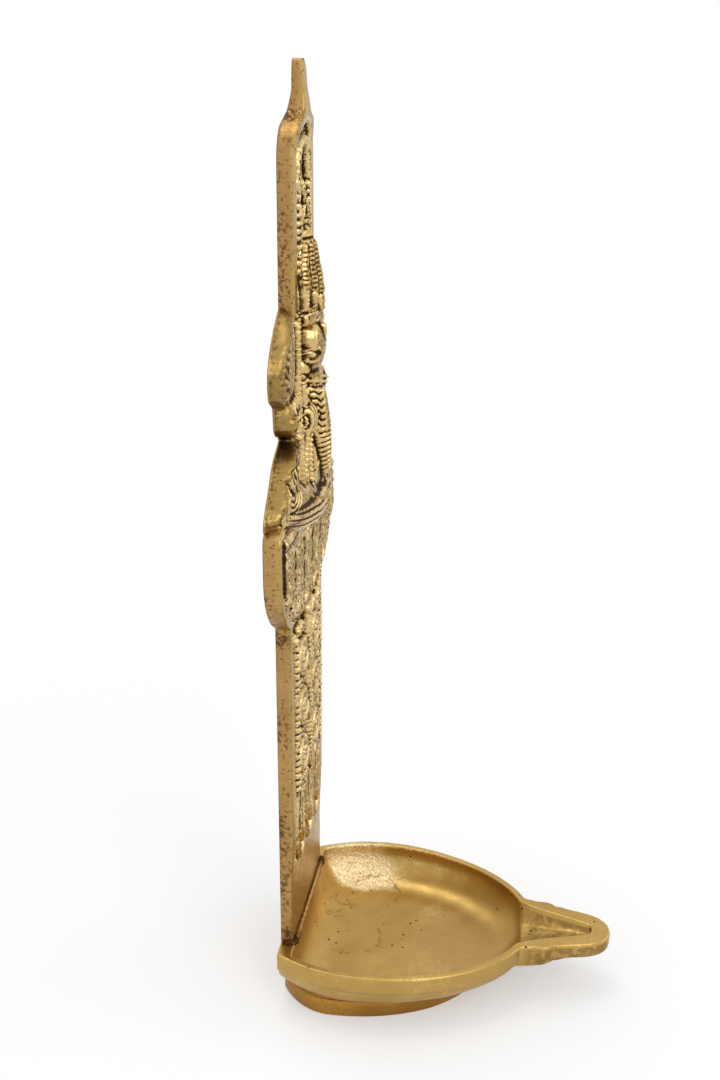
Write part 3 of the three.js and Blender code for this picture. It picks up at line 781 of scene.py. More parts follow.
@dataclass(frozen=True)
class BowlFinish(BrassFinish):
    """Satin brass with a patch of painted highlight at the back and the fold lines of the casting.

    Attributes:
        patch: The patch of painted highlight.
        stain: The pinkish stain near the spout.
        folds: The fold lines.
        channel_y: Where the darker channel begins.
        patch_colour: Colour of the painted highlight.
        stain_colour: Colour of the stain.
        channel_colour: Colour of the soot in the channel.
    """

    patch: BowlMarkOrHighlight = BowlMarkOrHighlight((31.0, -20.0), 15.0, (1.9, 0.85))
    stain: BowlMarkOrHighlight = BowlMarkOrHighlight((-2.0, -58.0), 20.0, (0.8, 0.9))
    folds: tuple[BowlMarkOrHighlight, ...] = (
        BowlMarkOrHighlight((13.0, -12.0), 6.5),
        BowlMarkOrHighlight((24.0, -26.0), 9.0),
        BowlMarkOrHighlight((-1.0, -20.0), 12.0),
        BowlMarkOrHighlight((18.0, -17.0), 4.0, (1.3, 0.8)),
    )
    channel_y: float = -84.0
    patch_colour: Colour = (0.90, 0.74, 0.46)
    stain_colour: Colour = (0.40, 0.22, 0.085)
    channel_colour: Colour = (0.13, 0.062, 0.018)

    def extra(self, sheet: NodeSheet, made: Surface) -> Surface:
        """Adds the painted highlight patch, the stain, the folds and the darker channel."""
        here = sheet.place()
        wander = sheet.times(sheet.minus(sheet.noise(here, 120.0, 5, 0.7), 0.5), 0.012)
        # Painted highlight: a bright patch at the back of the floor, broken up by speckles.
        patch = sheet.step(
            self.patch.reach(sheet, wander), self.patch.radius * MM, (self.patch.radius - 7) * MM
        )
        highlight_speckle = sheet.step(sheet.noise(here, 1100.0, 3, 0.7), 0.36, 0.6, 0.35, 1.0)
        highlighted = sheet.blend(sheet.times(patch, highlight_speckle), made.colour, rgba(self.patch_colour))
        stained = sheet.step(
            self.stain.reach(sheet, wander), self.stain.radius * MM, 0.4 * self.stain.radius * MM
        )
        highlighted = sheet.blend(sheet.times(stained, 0.45), highlighted, rgba(self.stain_colour))
        outward = sheet.add(
            "ShaderNodeSeparateXYZ", {0: sheet.place(shift=(0.0, WALL_Y, RIM_Z * MM))}
        ).outputs
        beyond = sheet.step(outward[1], (self.channel_y + 2) * MM, (self.channel_y - 2) * MM)
        sunk = sheet.step(outward[2], -0.0009, -0.0016)
        dark = sheet.times(
            sheet.times(beyond, sunk), sheet.step(sheet.noise(here, 380.0, 4, 0.7), 0.3, 0.62)
        )
        highlighted = sheet.blend(sheet.times(dark, 0.62), highlighted, rgba(self.channel_colour))
        ridge: Socket | float = 0.0
        for fold in self.folds:
            away = sheet.minus(fold.reach(sheet, wander), fold.radius * MM)
            line = sheet.step(sheet.math("ABSOLUTE", away), 0.0005, 0.0001)
            ridge = sheet.larger(line, ridge)
        broken = sheet.step(sheet.noise(here, 150.0, 2), 0.52, 0.56)
        ridge = sheet.times(ridge, broken)
        height = sheet.times(ridge, 0.00025)
        frost = sheet.times(sheet.noise(here, 1400.0, 2, 0.6), sheet.times(patch, 0.0003))
        folds = sheet.add(
            "ShaderNodeBump", {"Height": sheet.plus(height, frost), "Distance": 1.0, "Strength": 1.0}
        )
        sheet.feed(folds.inputs["Normal"], made.normal)
        rough = sheet.plus(made.rough, sheet.times(patch, 0.12), clamp=True)
        return Surface(highlighted, rough, folds.outputs[0])


CARVED = BrassFinish(
    "carved_brass", (0.74, 0.54, 0.26), (0.44, 0.295, 0.105), (0.040, 0.018, 0.006), 0.33,
    grain_depth=0.00010, cavity=True, mottling=0.35,
)
FIGURE_BRASS = BrassFinish(
    "figure_brass", (0.68, 0.48, 0.21), (0.35, 0.222, 0.072), (0.036, 0.016, 0.005), 0.31,
    grain_depth=0.00008, cavity=True, mottling=0.3,
)
EDGE_BRASS = FiledEdgeFinish(
    "filed_edge_brass", (0.50, 0.32, 0.115), (0.42, 0.242, 0.085), (0.12, 0.058, 0.02), 0.38,
    grain_depth=0.00006, pit_depth=0.0003, file_depth=0.0001,
)
BOWL_BRASS = BowlFinish(
    "bowl_brass", (0.62, 0.43, 0.16), (0.50, 0.32, 0.094), (0.23, 0.12, 0.034), 0.34,
    grain_depth=0.00002, brown_cover=0.4, mottling=0.75,
)
# The foot's darker colours are painted shade from the bowl's overhang.
SHADED_FOOT_BRASS = BrassFinish(
    "shaded_foot_brass", (0.50, 0.29, 0.075), (0.38, 0.188, 0.038), (0.10, 0.042, 0.011), 0.42,
    grain_depth=0.00007, pit_depth=0.0004, brown_cover=0.8, mottling=0.8,
)
BRAZE_BRASS = BrassFinish(
    "braze_brass", (0.55, 0.34, 0.13), (0.45, 0.265, 0.10), (0.09, 0.038, 0.012), 0.48,
    grain_depth=0.00015, pit_depth=0.0005, cavity=True, mottling=0.6,
)
PEARL_BRASS = BrassFinish(
    "pearl_brass", (0.66, 0.46, 0.20), (0.42, 0.27, 0.09), (0.08, 0.038, 0.012), 0.3, mottling=0.8
)


class StringOfBeads:
    """Rows of small round beads along paths, made by one Geometry Nodes tree."""

    def __init__(self) -> None:
        """Builds the tree."""
        tree = bpy.data.node_groups.new("string_of_beads", "GeometryNodeTree")
        tree.interface.new_socket("Geometry", in_out="INPUT", socket_type="NodeSocketGeometry")
        kinds = {"Spacing": "Float", "Radius": "Float", "Seed": "Int", "Material": "Material"}
        self.sockets = {}
        for label, kind in kinds.items():
            socket = tree.interface.new_socket(label, in_out="INPUT", socket_type="NodeSocket" + kind)
            self.sockets[label] = socket.identifier
        tree.interface.new_socket("Geometry", in_out="OUTPUT", socket_type="NodeSocketGeometry")
        sheet = NodeSheet(tree)
        given = sheet.add("NodeGroupInput").outputs
        curve = sheet.add("GeometryNodeMeshToCurve", {"Mesh": given["Geometry"]})
        along = {"Curve": curve.outputs[0], "Length": given["Spacing"]}
        spaced = sheet.add("GeometryNodeResampleCurve", along, mode="LENGTH")
        ball = sheet.add("GeometryNodeMeshUVSphere", {"Segments": 8, "Rings": 6, "Radius": given["Radius"]})
        size = sheet.add("FunctionNodeRandomValue", data_type="FLOAT")
        floats = [socket for socket in size.inputs if socket.type == "VALUE" and socket.enabled]
        floats[0].default_value, floats[1].default_value = 0.88, 1.1
        sheet.feed(size.inputs["Seed"], given["Seed"])
        chosen = next(socket for socket in size.outputs if socket.enabled)
        inputs = {"Points": spaced.outputs[0], "Instance": ball.outputs["Mesh"], "Scale": chosen}
        placed = sheet.add("GeometryNodeInstanceOnPoints", inputs)
        real = sheet.add("GeometryNodeRealizeInstances", {"Geometry": placed.outputs[0]})
        smooth = sheet.add("GeometryNodeSetShadeSmooth", {"Geometry": real.outputs[0]})
        dressed = sheet.add(
            "GeometryNodeSetMaterial", {"Geometry": smooth.outputs[0], "Material": given["Material"]}
        )
        sheet.add("NodeGroupOutput", {"Geometry": dressed.outputs[0]})
        self.tree = tree

    def build(
        self, name: str, paths: Sequence[Array], spacing: float, radius: float, material: Material
    ) -> Piece:
        """Strings beads along paths.

        Args:
            name: The piece's name.
            paths: For each string, rows of x, y, z in millimetres.
            spacing: Distance between beads in millimetres.
            radius: Radius of a bead in millimetres.
            material: Their material.

        Returns:
            The piece as a plain mesh.
        """
        edges: list[tuple[int, int]] = []
        start = 0
        for path in paths:
            edges += [(start + i, start + i + 1) for i in range(len(path) - 1)]
            start += len(path)
        guide_mesh = bpy.data.meshes.new(name + "_guide")
        guide_mesh.from_pydata(to_frame(np.vstack(paths)).tolist(), edges, [])
        guide = linked(name + "_guide", guide_mesh)
        modifier = guide.modifiers.new("beads", "NODES")
        modifier.node_group = self.tree
        values = {"Spacing": spacing * MM, "Radius": radius * MM, "Seed": len(paths), "Material": material}
        for label, value in values.items():
            modifier[self.sockets[label]] = value
        mesh = baked(guide)
        bpy.data.objects.remove(guide)
        mesh.name = name
        return linked(name, mesh)


@dataclass
class Scroll:
    """A curled tendril of the vine, in millimetres, with the angle in degrees at which it leaves the stem."""

    centre: Point
    radius: float
    turns: float = 1.35
    start: float = 205

    def path(self) -> Array:
        """Rows of x, z from the stem to the middle of the curl."""
        share = np.linspace(0, 1, 34)
        angle = math.radians(self.start) + share * self.turns * 2 * math.pi
        radius = self.radius * (1 - 0.84 * share**0.85)
        return joined(self.centre[0] + radius * np.cos(angle), self.centre[1] + radius * np.sin(angle))


@dataclass
class WallPlate:
    """The cast plate on the wall, with its carved borders, seat, petals and vine.

    Attributes are sizes in millimetres. Each row of the finial gives a height above its root, half its width,
    and how far its back and its front stand from the wall.
    """

    ground: float = 3.8
    border_level: float = 5.0
    border_width: float = 5.0
    seat_border_width: float = 3.4
    bevel: float = 0.9
    panel_foot_half: float = 25.5
    panel_top_half: float = 27.0
    plain_foot: float = 28.0
    seat_z: float = RIM_Z + 144
    seat_half: float = 42.45
    seat_drop: float = 29.6
    seat_proud: float = 0.75
    plain_level: float = 4.3
    seat_top: float = 14.0
    waist_half: float = 18.0
    head_z: float = RIM_Z + 203
    head_half: float = 28.4
    head_half_height: float = 18.0
    arch_half: float = 15.7
    arch_rise: float = 57.0
    arch_head: float = 14.5
    arch_power: float = 2.8
    finial: tuple[tuple[float, float, float, float], ...] = (
        (-6.0, 10.0, 0.0, 5.0), (-2.0, 10.0, 0.0, 5.6), (0.6, 9.8, 0.0, 6.2), (2.2, 7.0, 0.4, 6.3),
        (3.8, 4.9, 0.95, 6.4), (6.5, 3.8, 1.5, 6.3), (9.5, 3.1, 2.0, 5.9), (15.0, 2.7, 2.0, 5.6),
        (17.2, 2.2, 2.0, 5.3), (18.0, 1.4, 2.0, 5.1)
    )
    nail_radius: float = 3.3
    nail_rise: float = 46.0
    columns: int = 136
    scroll_rows: int = 3
    petals: int = 6
    petal_pitch: float = 13.2

    @property
    def spring_z(self) -> float:
        """Where the arch starts to round."""
        return self.head_z + self.arch_rise

    @property
    def field_z(self) -> float:
        """Lower end of the carved field."""
        return RIM_Z + self.plain_foot

    @property
    def seat_low_z(self) -> float:
        """Lower end of the seat."""
        return self.seat_z - self.seat_drop

    @property
    def finial_z(self) -> float:
        """Where the finial leaves the arch."""
        return self.spring_z + self.arch_head - 2.5

    def levels(self) -> Array:
        """Heights of the rows, closer together where there is carving."""
        spans = (
            (RIM_Z, self.field_z - 1, 0.9),
            (self.field_z - 1, self.seat_z + self.seat_top, 0.4),
            (self.seat_z + self.seat_top, self.head_z + 12, 1.0),
            (self.head_z + 12, TOP_Z, 0.45),
        )
        parts = [
            np.linspace(low, high, round((high - low) / pitch), endpoint=False)
            for low, high, pitch in spans
        ]
        return np.concatenate([*parts, [TOP_Z]])

    def half_width(self, z: Array) -> Array:
        """Half the plate's width at each height."""
        share = np.clip((z - RIM_Z) / (self.seat_z - RIM_Z), 0, 1)
        panel = np.where(
            z <= self.seat_z, self.panel_foot_half + share * (self.panel_top_half - self.panel_foot_half), 0
        )
        below = self.seat_half * np.sqrt(np.clip(1 - ((self.seat_z - z) / self.seat_drop) ** 2, 0, 1))
        top = self.seat_z + self.seat_top
        above = self.seat_half - np.clip(z - top + 3, 0, None) ** 2 * 0.16
        seat = np.where(z < self.seat_z, below, np.where(z < top + 14, above, 0))
        waist = np.where((z > self.seat_z) & (z < self.head_z), self.waist_half, 0)
        backing = self.head_half * np.sqrt(
            np.clip(1 - ((z - self.head_z) / self.head_half_height) ** 2, 0, 1)
        )
        rise = np.clip(z - self.spring_z, 0, None) / self.arch_head
        round_top = np.clip(1 - rise**self.arch_power, 0, 1) ** (1 / self.arch_power)
        arch = np.where(z >= self.head_z, self.arch_half * round_top, 0)
        finial = np.where(z > self.finial_z, self.finial_row(z, 1), 0)
        whole = np.max(np.stack([panel, seat, waist, backing, arch, finial]), axis=0)
        return blurred(whole[:, None], 4)[:, 0]

    def finial_row(self, z: Array, column: int) -> Array:
        """One size of the finial at each height: 1 for half its width, 2 for its back, 3 for its front."""
        table = np.array(self.finial)
        return np.interp(z - self.finial_z, table[:, 0], table[:, column])

    def edge_distance(self, canvas: ReliefCanvas) -> Array:
        """Distance of each point of the front from the plate's outline."""
        half = np.abs(canvas.x[:, -1])
        slope = np.gradient(half, canvas.z[:, 0])
        return (half[:, None] - np.abs(canvas.x)) / np.sqrt(1 + slope[:, None] ** 2)

    def carve(self) -> ReliefCanvas:
        """Carves the whole front.

        Returns:
            The finished canvas.
        """
        levels = self.levels()
        canvas = ReliefCanvas.over(levels, self.half_width(levels) - self.bevel, self.columns, self.ground)
        self._vine(canvas)
        self._base_petals(canvas)
        self._seat_petals(canvas)
        self._arch_field(canvas)
        carved = np.clip((canvas.z - self.field_z) / 4, 0, 1)
        canvas.stipple(carved * (0.35 + 0.65 * canvas.ground_cover(self.ground, 0.9)), 0.24, 3)
        sunk = carved * ((canvas.z < self.seat_low_z + 3) | (canvas.z > self.head_z + 14))
        canvas.height -= 0.8 * sunk * canvas.ground_cover(self.ground + 0.2, 0.7)
        self._frame(canvas)
        canvas.height += 0.06 * ripple(canvas.x, canvas.z, 17.0, 1.3) * (canvas.z < self.seat_z)
        canvas.height += self.finial_row(canvas.z, 3) - self.border_level
        low, high = self.seat_low_z + 4, self.seat_z + 16
        swell = np.clip((canvas.z - low) / 9, 0, 1) * np.clip((high + 9 - canvas.z) / 9, 0, 1)
        canvas.height += self.seat_proud * swell
        return canvas

    def _frame(self, canvas: ReliefCanvas) -> None:
        """Raises the borders and the plain foot."""
        away = self.edge_distance(canvas) + self.bevel
        z = canvas.z
        in_seat = (z > self.seat_low_z + 2) & (z < self.seat_z + self.seat_top)
        width = np.where(in_seat, self.seat_border_width, self.border_width)
        width = np.where((z > self.seat_z + self.seat_top) & (z < self.head_z + 16), 1.2, width)
        edge = np.clip((width - away) / 0.5 + 0.5, 0, 1)
        petal_foot = self.field_z - 1 + 4.5 * (1 - np.abs(np.cos(math.pi * canvas.x / self.petal_pitch)))
        plain = np.clip((petal_foot - z) / 0.6 + 0.5, 0, 1)
        finial = np.clip((z - self.finial_z) / 1.5, 0, 1)
        cover = np.maximum(np.maximum(edge, plain), finial)
        cover = cover * cover * (3 - 2 * cover)
        share = np.clip((self.field_z + 14 - z) / 18, 0, 1)
        level = self.border_level + (self.plain_level - self.border_level) * share
        canvas.height += cover * (level - canvas.height)
        beaded = (away > 0.5 * width) & (away < 0.95 * width) & in_seat
        strokes = np.abs(np.sin(math.pi * z / 1.7))
        canvas.height += np.where(beaded, 0.55 * strokes - 0.4, 0)
        bead_line = (away > 0.72 * width) & (away < 0.97 * width) & (plain < 0.5) & (z < self.seat_low_z)
        canvas.height += np.where(bead_line, 0.35 * strokes - 0.3, 0)

    def _vine(self, canvas: ReliefCanvas) -> None:
        """Carves the vine up the panel: a stem, curled tendrils, leaves and rosettes."""
        low, high = self.field_z + 30, self.seat_low_z - 1
        pitch = (high - low) / self.scroll_rows
        crest = self.border_level + 0.9
        stem = curve_through(
            [(0, low - 3), (0.5, low + 8), (-0.5, (low + high) / 2), (0.4, high), (0, high + 3)]
        )
        canvas.tube(stem, (2.3, 2.0, 2.0), crest + 0.9, 0.1, ring_pitch=1.7, ring_depth=0.6)
        canvas.emboss(stem, 0.5, -1.1)
        for side in (-1, 1):
            chain = np.array([(side * 18.5, low - 1), (side * 19.2, high + 1)])
            canvas.tube(chain, 1.6, crest + 0.5, 0.05, ring_pitch=2.5, ring_depth=1.1)
        for row in range(self.scroll_rows):
            base = low + pitch * row
            curl = Scroll((10.4, base + 0.52 * pitch), 7.4)
            tendril = np.vstack(
                [
                    curve_through([(0, base - 1), (2.2, base + 2.4), tuple(curl.path()[0])], 5),
                    curl.path()[1:]
                ]
            )
            leaf_lines = (
                ((8.4, -2.2), (13.2, 0.4), (18.4, 1.6)),
                ((16.6, 0.70 * pitch), (18.6, 0.86 * pitch), (18.4, 1.08 * pitch)),
                ((5.2, 0.93 * pitch), (10.0, 1.06 * pitch), (14.8, 0.98 * pitch)),
                ((3.6, 0.30 * pitch), (3.4, 0.5 * pitch), (4.6, 0.72 * pitch)),
            )
            for turn in (np.array, mirrored):
                path = turn(tendril)
                canvas.tube(path, (1.5, 1.4, 1.2, 0.9), (crest + 0.8, crest + 0.5, crest + 0.2), 0.05)
                canvas.emboss(path, 0.35, -0.7)
                for line in leaf_lines:
                    self._leaf(canvas, turn(drawn(base, *line, steps=5)), 2.4, crest + 0.2)
                centre = turn(np.array([curl.centre]))[0]
                self._rosette(canvas, (centre[0], centre[1]), 2.9, crest + 0.8)

    def _leaf(self, canvas: ReliefCanvas, line: Array, half_width: float, crest: float) -> None:
        """Carves a pointed leaf with a rib along a line."""
        canvas.tube(
            line, (0.5, 0.8 * half_width, half_width, 0.7 * half_width, 0.4),
            (crest - 0.3, crest, crest - 0.4), 0.2
        )
        canvas.emboss(line, 0.45, -0.5)
        for share in (0.3, 0.5, 0.7):
            place = int(share * (len(line) - 1))
            at = line[place]
            ahead = line[min(place + 1, len(line) - 1)] - at
            ahead = ahead / max(np.hypot(*ahead), 1e-6)
            for side in (-1, 1):
                out = np.array([-ahead[1], ahead[0]]) * side
                canvas.emboss(np.stack([at, at + 0.8 * half_width * (out + 0.7 * ahead)]), 0.3, -0.3)

    def _rosette(self, canvas: ReliefCanvas, centre: Point, radius: float, crest: float) -> None:
        """Carves a small flower of six petals round a button."""
        for petal in range(6):
            angle = math.radians(60 * petal + 30)
            middle = (centre[0] + 0.6 * radius * math.cos(angle), centre[1] + 0.6 * radius * math.sin(angle))
            canvas.dome(middle, (0.42 * radius, 0.42 * radius), crest, 0.9, blend=0.1)
        canvas.dome(centre, (0.36 * radius, 0.36 * radius), crest + 0.35, 1.0, blend=0.1)

    def _petal(self, canvas: ReliefCanvas, top: Point, length: float, half: float, crest: float) -> None:
        """Carves one hanging petal: nested loops with deep grooves between them.

        Args:
            canvas: The plate's front.
            top: Middle of its upper edge.
            length: Its length.
            half: Its half width.
            crest: Height of its outer loop.
        """
        x, z = top
        for loop, (share, rise) in enumerate(((0.88, 0.0), (0.42, 0.5))):
            width = share * half
            foot = z - length * (0.95 - 0.22 * loop)
            sides = [
                (x - 0.8 * width, z - 0.5), (x - width, z - 0.4 * length),
                (x - 0.78 * width, foot + 0.14 * length)
            ]
            far = [(2 * x - a, b) for a, b in reversed(sides)]
            path = curve_through([*sides, (x, foot), *far], 6)
            canvas.tube(path, 0.2 * half + 0.1, crest + rise, 0.05)
            canvas.emboss(path, 0.45, -0.9)
        for drop in range(5):
            share = 0.1 + 0.13 * drop
            canvas.dome((x, z - share * length), (0.16 * half, 0.05 * length), crest + 0.2, 0.9, 0, 0.05)

    def _base_petals(self, canvas: ReliefCanvas) -> None:
        """Carves the three hanging petals at the foot of the vine, with small ones between them."""
        top = self.field_z + 27.5
        for step in (-0.5, 0.5):
            self._petal(canvas, (step * self.petal_pitch, top - 1), 17, 3.2, self.border_level)
        for step in (-1, 0, 1):
            self._petal(
                canvas, (step * self.petal_pitch, top), 27.6, 6.6, self.border_level + 1.0 - 0.2 * abs(step)
            )
        collar = np.array([(-20.0, top + 1.2), (20.0, top + 1.2)])
        canvas.tube(collar, 1.5, self.border_level + 0.9, 0.1, ring_pitch=2.2, ring_depth=0.7)

    def _seat_petals(self, canvas: ReliefCanvas) -> None:
        """Carves the hanging petals and the cushion of the seat."""
        crest = self.border_level + 0.35
        top = self.seat_z + self.seat_top - 9.0
        middle = (self.petals - 1) / 2
        for shift, level in ((0.5, 0.0), (0.0, 0.6)):
            for index in range(self.petals):
                share = (index - middle + shift) / middle
                if abs(share) < 1.05:
                    x = share * (self.seat_half - 7.2)
                    fall = math.sqrt(1 - min(abs(x) / self.seat_half, 0.96) ** 2)
                    foot = self.seat_z - self.seat_drop * fall
                    length = top - foot - self.seat_border_width - (1.6 if shift == 0 else 0.4)
                    self._petal(canvas, (x, top), length, 6.2, crest + level)
        for step in range(2):
            z = top + 1.6 + 3.6 * step
            line = np.array([(-self.seat_half + 2, z), (self.seat_half - 2, z)])
            canvas.tube(line, 2.1, crest + 1.1, 0.2, ring_pitch=1.3, ring_depth=0.35)

    def _arch_field(self, canvas: ReliefCanvas) -> None:
        """Carves the field above the figure: a rope, leaves and a boss round the nail hole."""
        nail_z = self.head_z + self.nail_rise
        inner = self.arch_half - self.border_width - 2.6
        head = arc((0, self.spring_z), (inner, self.arch_head - 7.2), 0, 180, 20)
        rope = np.vstack([[(inner, self.head_z + 14)], head, [(-inner, self.head_z + 14)]])
        canvas.tube(rope, 1.1, self.border_level, 0.05)
        steps = np.concatenate([[0], np.cumsum(np.hypot(*np.diff(rope, axis=0).T))])
        random = np.random.default_rng(4)
        for mark in np.arange(1.0, steps[-1], 2.4):
            along = mark + random.uniform(-0.6, 0.6)
            across = random.uniform(-0.5, 0.5)
            size = random.uniform(1.0, 1.6)
            spot = (
                float(np.interp(along, steps, rope[:, 0])) + across,
                float(np.interp(along, steps, rope[:, 1]))
            )
            canvas.dome(spot, (size, 0.8 * size), self.border_level + 0.55 * size, 1.5, 0, 0.05)
        calm = np.array([(inner, self.spring_z - 4), *head[3:-3], (-inner, self.spring_z - 4)])
        canvas.tube(calm, 1.5, self.border_level + 0.7, 0.05)
        for side in (-1, 1):
            for rise, reach in ((20.0, 15.0), (34.0, 12.0)):
                low = self.head_z + rise
                leaf = drawn(low, (5.4, 0), (6.4, 0.5 * reach), (4.6, reach), side=side, steps=5)
                self._leaf(canvas, leaf, 2.1, self.border_level + 0.9)
        for ray in range(12):
            turn = math.radians(30 * ray + 15)
            away = np.array([math.cos(turn), math.sin(turn)])
            root = np.array([0, nail_z]) + 5.6 * away
            if abs(root[0] + 2.4 * away[0]) < inner:
                canvas.tube(
                    np.stack([root, root + 2.2 * away]), (1.1, 0.5), (self.ground + 0.9, self.ground + 0.5),
                    0.1
                )
        boss = arc((0, nail_z), (4.4, 4.4), 0, 360, 28)
        canvas.tube(boss, 1.0, self.ground + 0.9)

    def rings(self, canvas: ReliefCanvas) -> Array:
        """Closes the carved front with a bevel, the filed sides and the flat back.

        Args:
            canvas: The carved front.

        Returns:
            Points by row and place, those of the front first.
        """
        half = canvas.x[:, -1] + self.bevel
        z = canvas.z[:, 0]
        right: list[Array] = []
        for share in (0.35, 0.7):
            turn = share * math.pi / 2
            x = half - self.bevel * (1 - math.sin(turn))
            right.append(joined(x, -canvas.height[:, -1] + self.bevel * (1 - math.cos(turn)), z))
        hind = self.finial_row(z, 2)
        fore = canvas.height[:, -1] - self.bevel
        for step in range(5):
            depth = hind + (fore - hind) * (1 - step / 5)
            rough = 0.09 * ripple(z, np.full(z.shape, 9.0 * step), 5.3, 2.0 + step)
            right.append(joined(half - 0.09 + rough, -depth, z))
        right.append(joined(half - 0.4, -hind, z))
        return canvas.closed(np.stack(right, axis=1), half - 0.4, -hind)

    def build(self, finishes: Finishes, beads: StringOfBeads) -> None:
        """Makes the plate and its strings of pearls.

        Args:
            finishes: Materials by name.
            beads: Maker of bead strings.
        """
        canvas = self.carve()
        rings, front = self.rings(canvas), self.columns
        plate = skin_mesh("wall_plate", rings)
        plate.data.materials.append(finishes[CARVED.name])
        plate.data.materials.append(finishes[EDGE_BRASS.name])
        count, around = rings.shape[:2]
        place = np.arange((count - 1) * around) % around
        slots = np.concatenate([(place >= front - 1).astype(int), np.ones(2 * around, int)])
        plate.data.polygons.foreach_set("material_index", slots)
        values = np.full(rings.shape[:2], 0.5)
        inner = self.edge_distance(canvas) > self.border_width - self.bevel
        inner &= canvas.z > self.field_z + 2
        # Painted shade: the low flanks of the carving, below the borders' height, are made darker.
        painted_flank_shade = np.clip((self.border_level + 1.5 - canvas.height) / 1.3, 0, 1)
        values[:, :front] = np.clip(canvas.cavity() + 0.22 * painted_flank_shade * inner, 0, 1)
        store_values(plate, CAVITY, np.concatenate([values.ravel(), [0.5, 0.5]]))
        self._drill(plate)
        fix_to_body(plate, Slot.PLATE, True)
        pearls = beads.build("plate_pearls", self._pearl_paths(), 1.75, 0.72, finishes[PEARL_BRASS.name])
        fix_to_body(pearls, Slot.PLATE, False)
        fine = beads.build("panel_pearls", self._fine_paths(), 1.25, 0.46, finishes[PEARL_BRASS.name])
        fix_to_body(fine, Slot.PLATE, False)

    def _drill(self, plate: Piece) -> None:
        """Cuts the nail hole through the plate."""
        nail_z = self.head_z + self.nail_rise
        turn = np.linspace(0, 2 * math.pi, 40, endpoint=False)
        x, z = self.nail_radius * np.cos(turn), self.nail_radius * np.sin(turn) + nail_z
        rings = [joined(x, np.full(x.shape, y), z) for y in (3.0, -9.0)]
        drill = skin_mesh("nail_drill", rings)
        cut = plate.modifiers.new("nail_hole", "BOOLEAN")
        cut.object, cut.operation, cut.solver = drill, "DIFFERENCE", "EXACT"
        mesh = baked(plate)
        plate.modifiers.clear()
        plate.data = mesh
        bpy.data.objects.remove(drill)

    def _pearl_paths(self) -> list[Array]:
        """Pearls along the seat's lower border."""
        level = -self.ground - self.seat_proud - 0.2
        inset = self.seat_border_width + 0.9
        seat = arc((0, self.seat_z), (self.seat_half - inset, self.seat_drop - inset), 206, 334, 40)
        return [np.insert(seat, 1, level, axis=1)]

    def _fine_paths(self) -> list[Array]:
        """Small pearls inside the panel's borders."""
        paths = []
        for side in (-1, 1):
            low = (side * (self.panel_foot_half - self.border_width - 0.6), self.field_z + 1.5)
            high = (side * (self.panel_top_half - self.border_width - 0.6), self.seat_low_z + 2.5)
            paths.append(np.insert(np.array([low, high]), 1, -self.ground - 0.15, axis=1))
        return paths


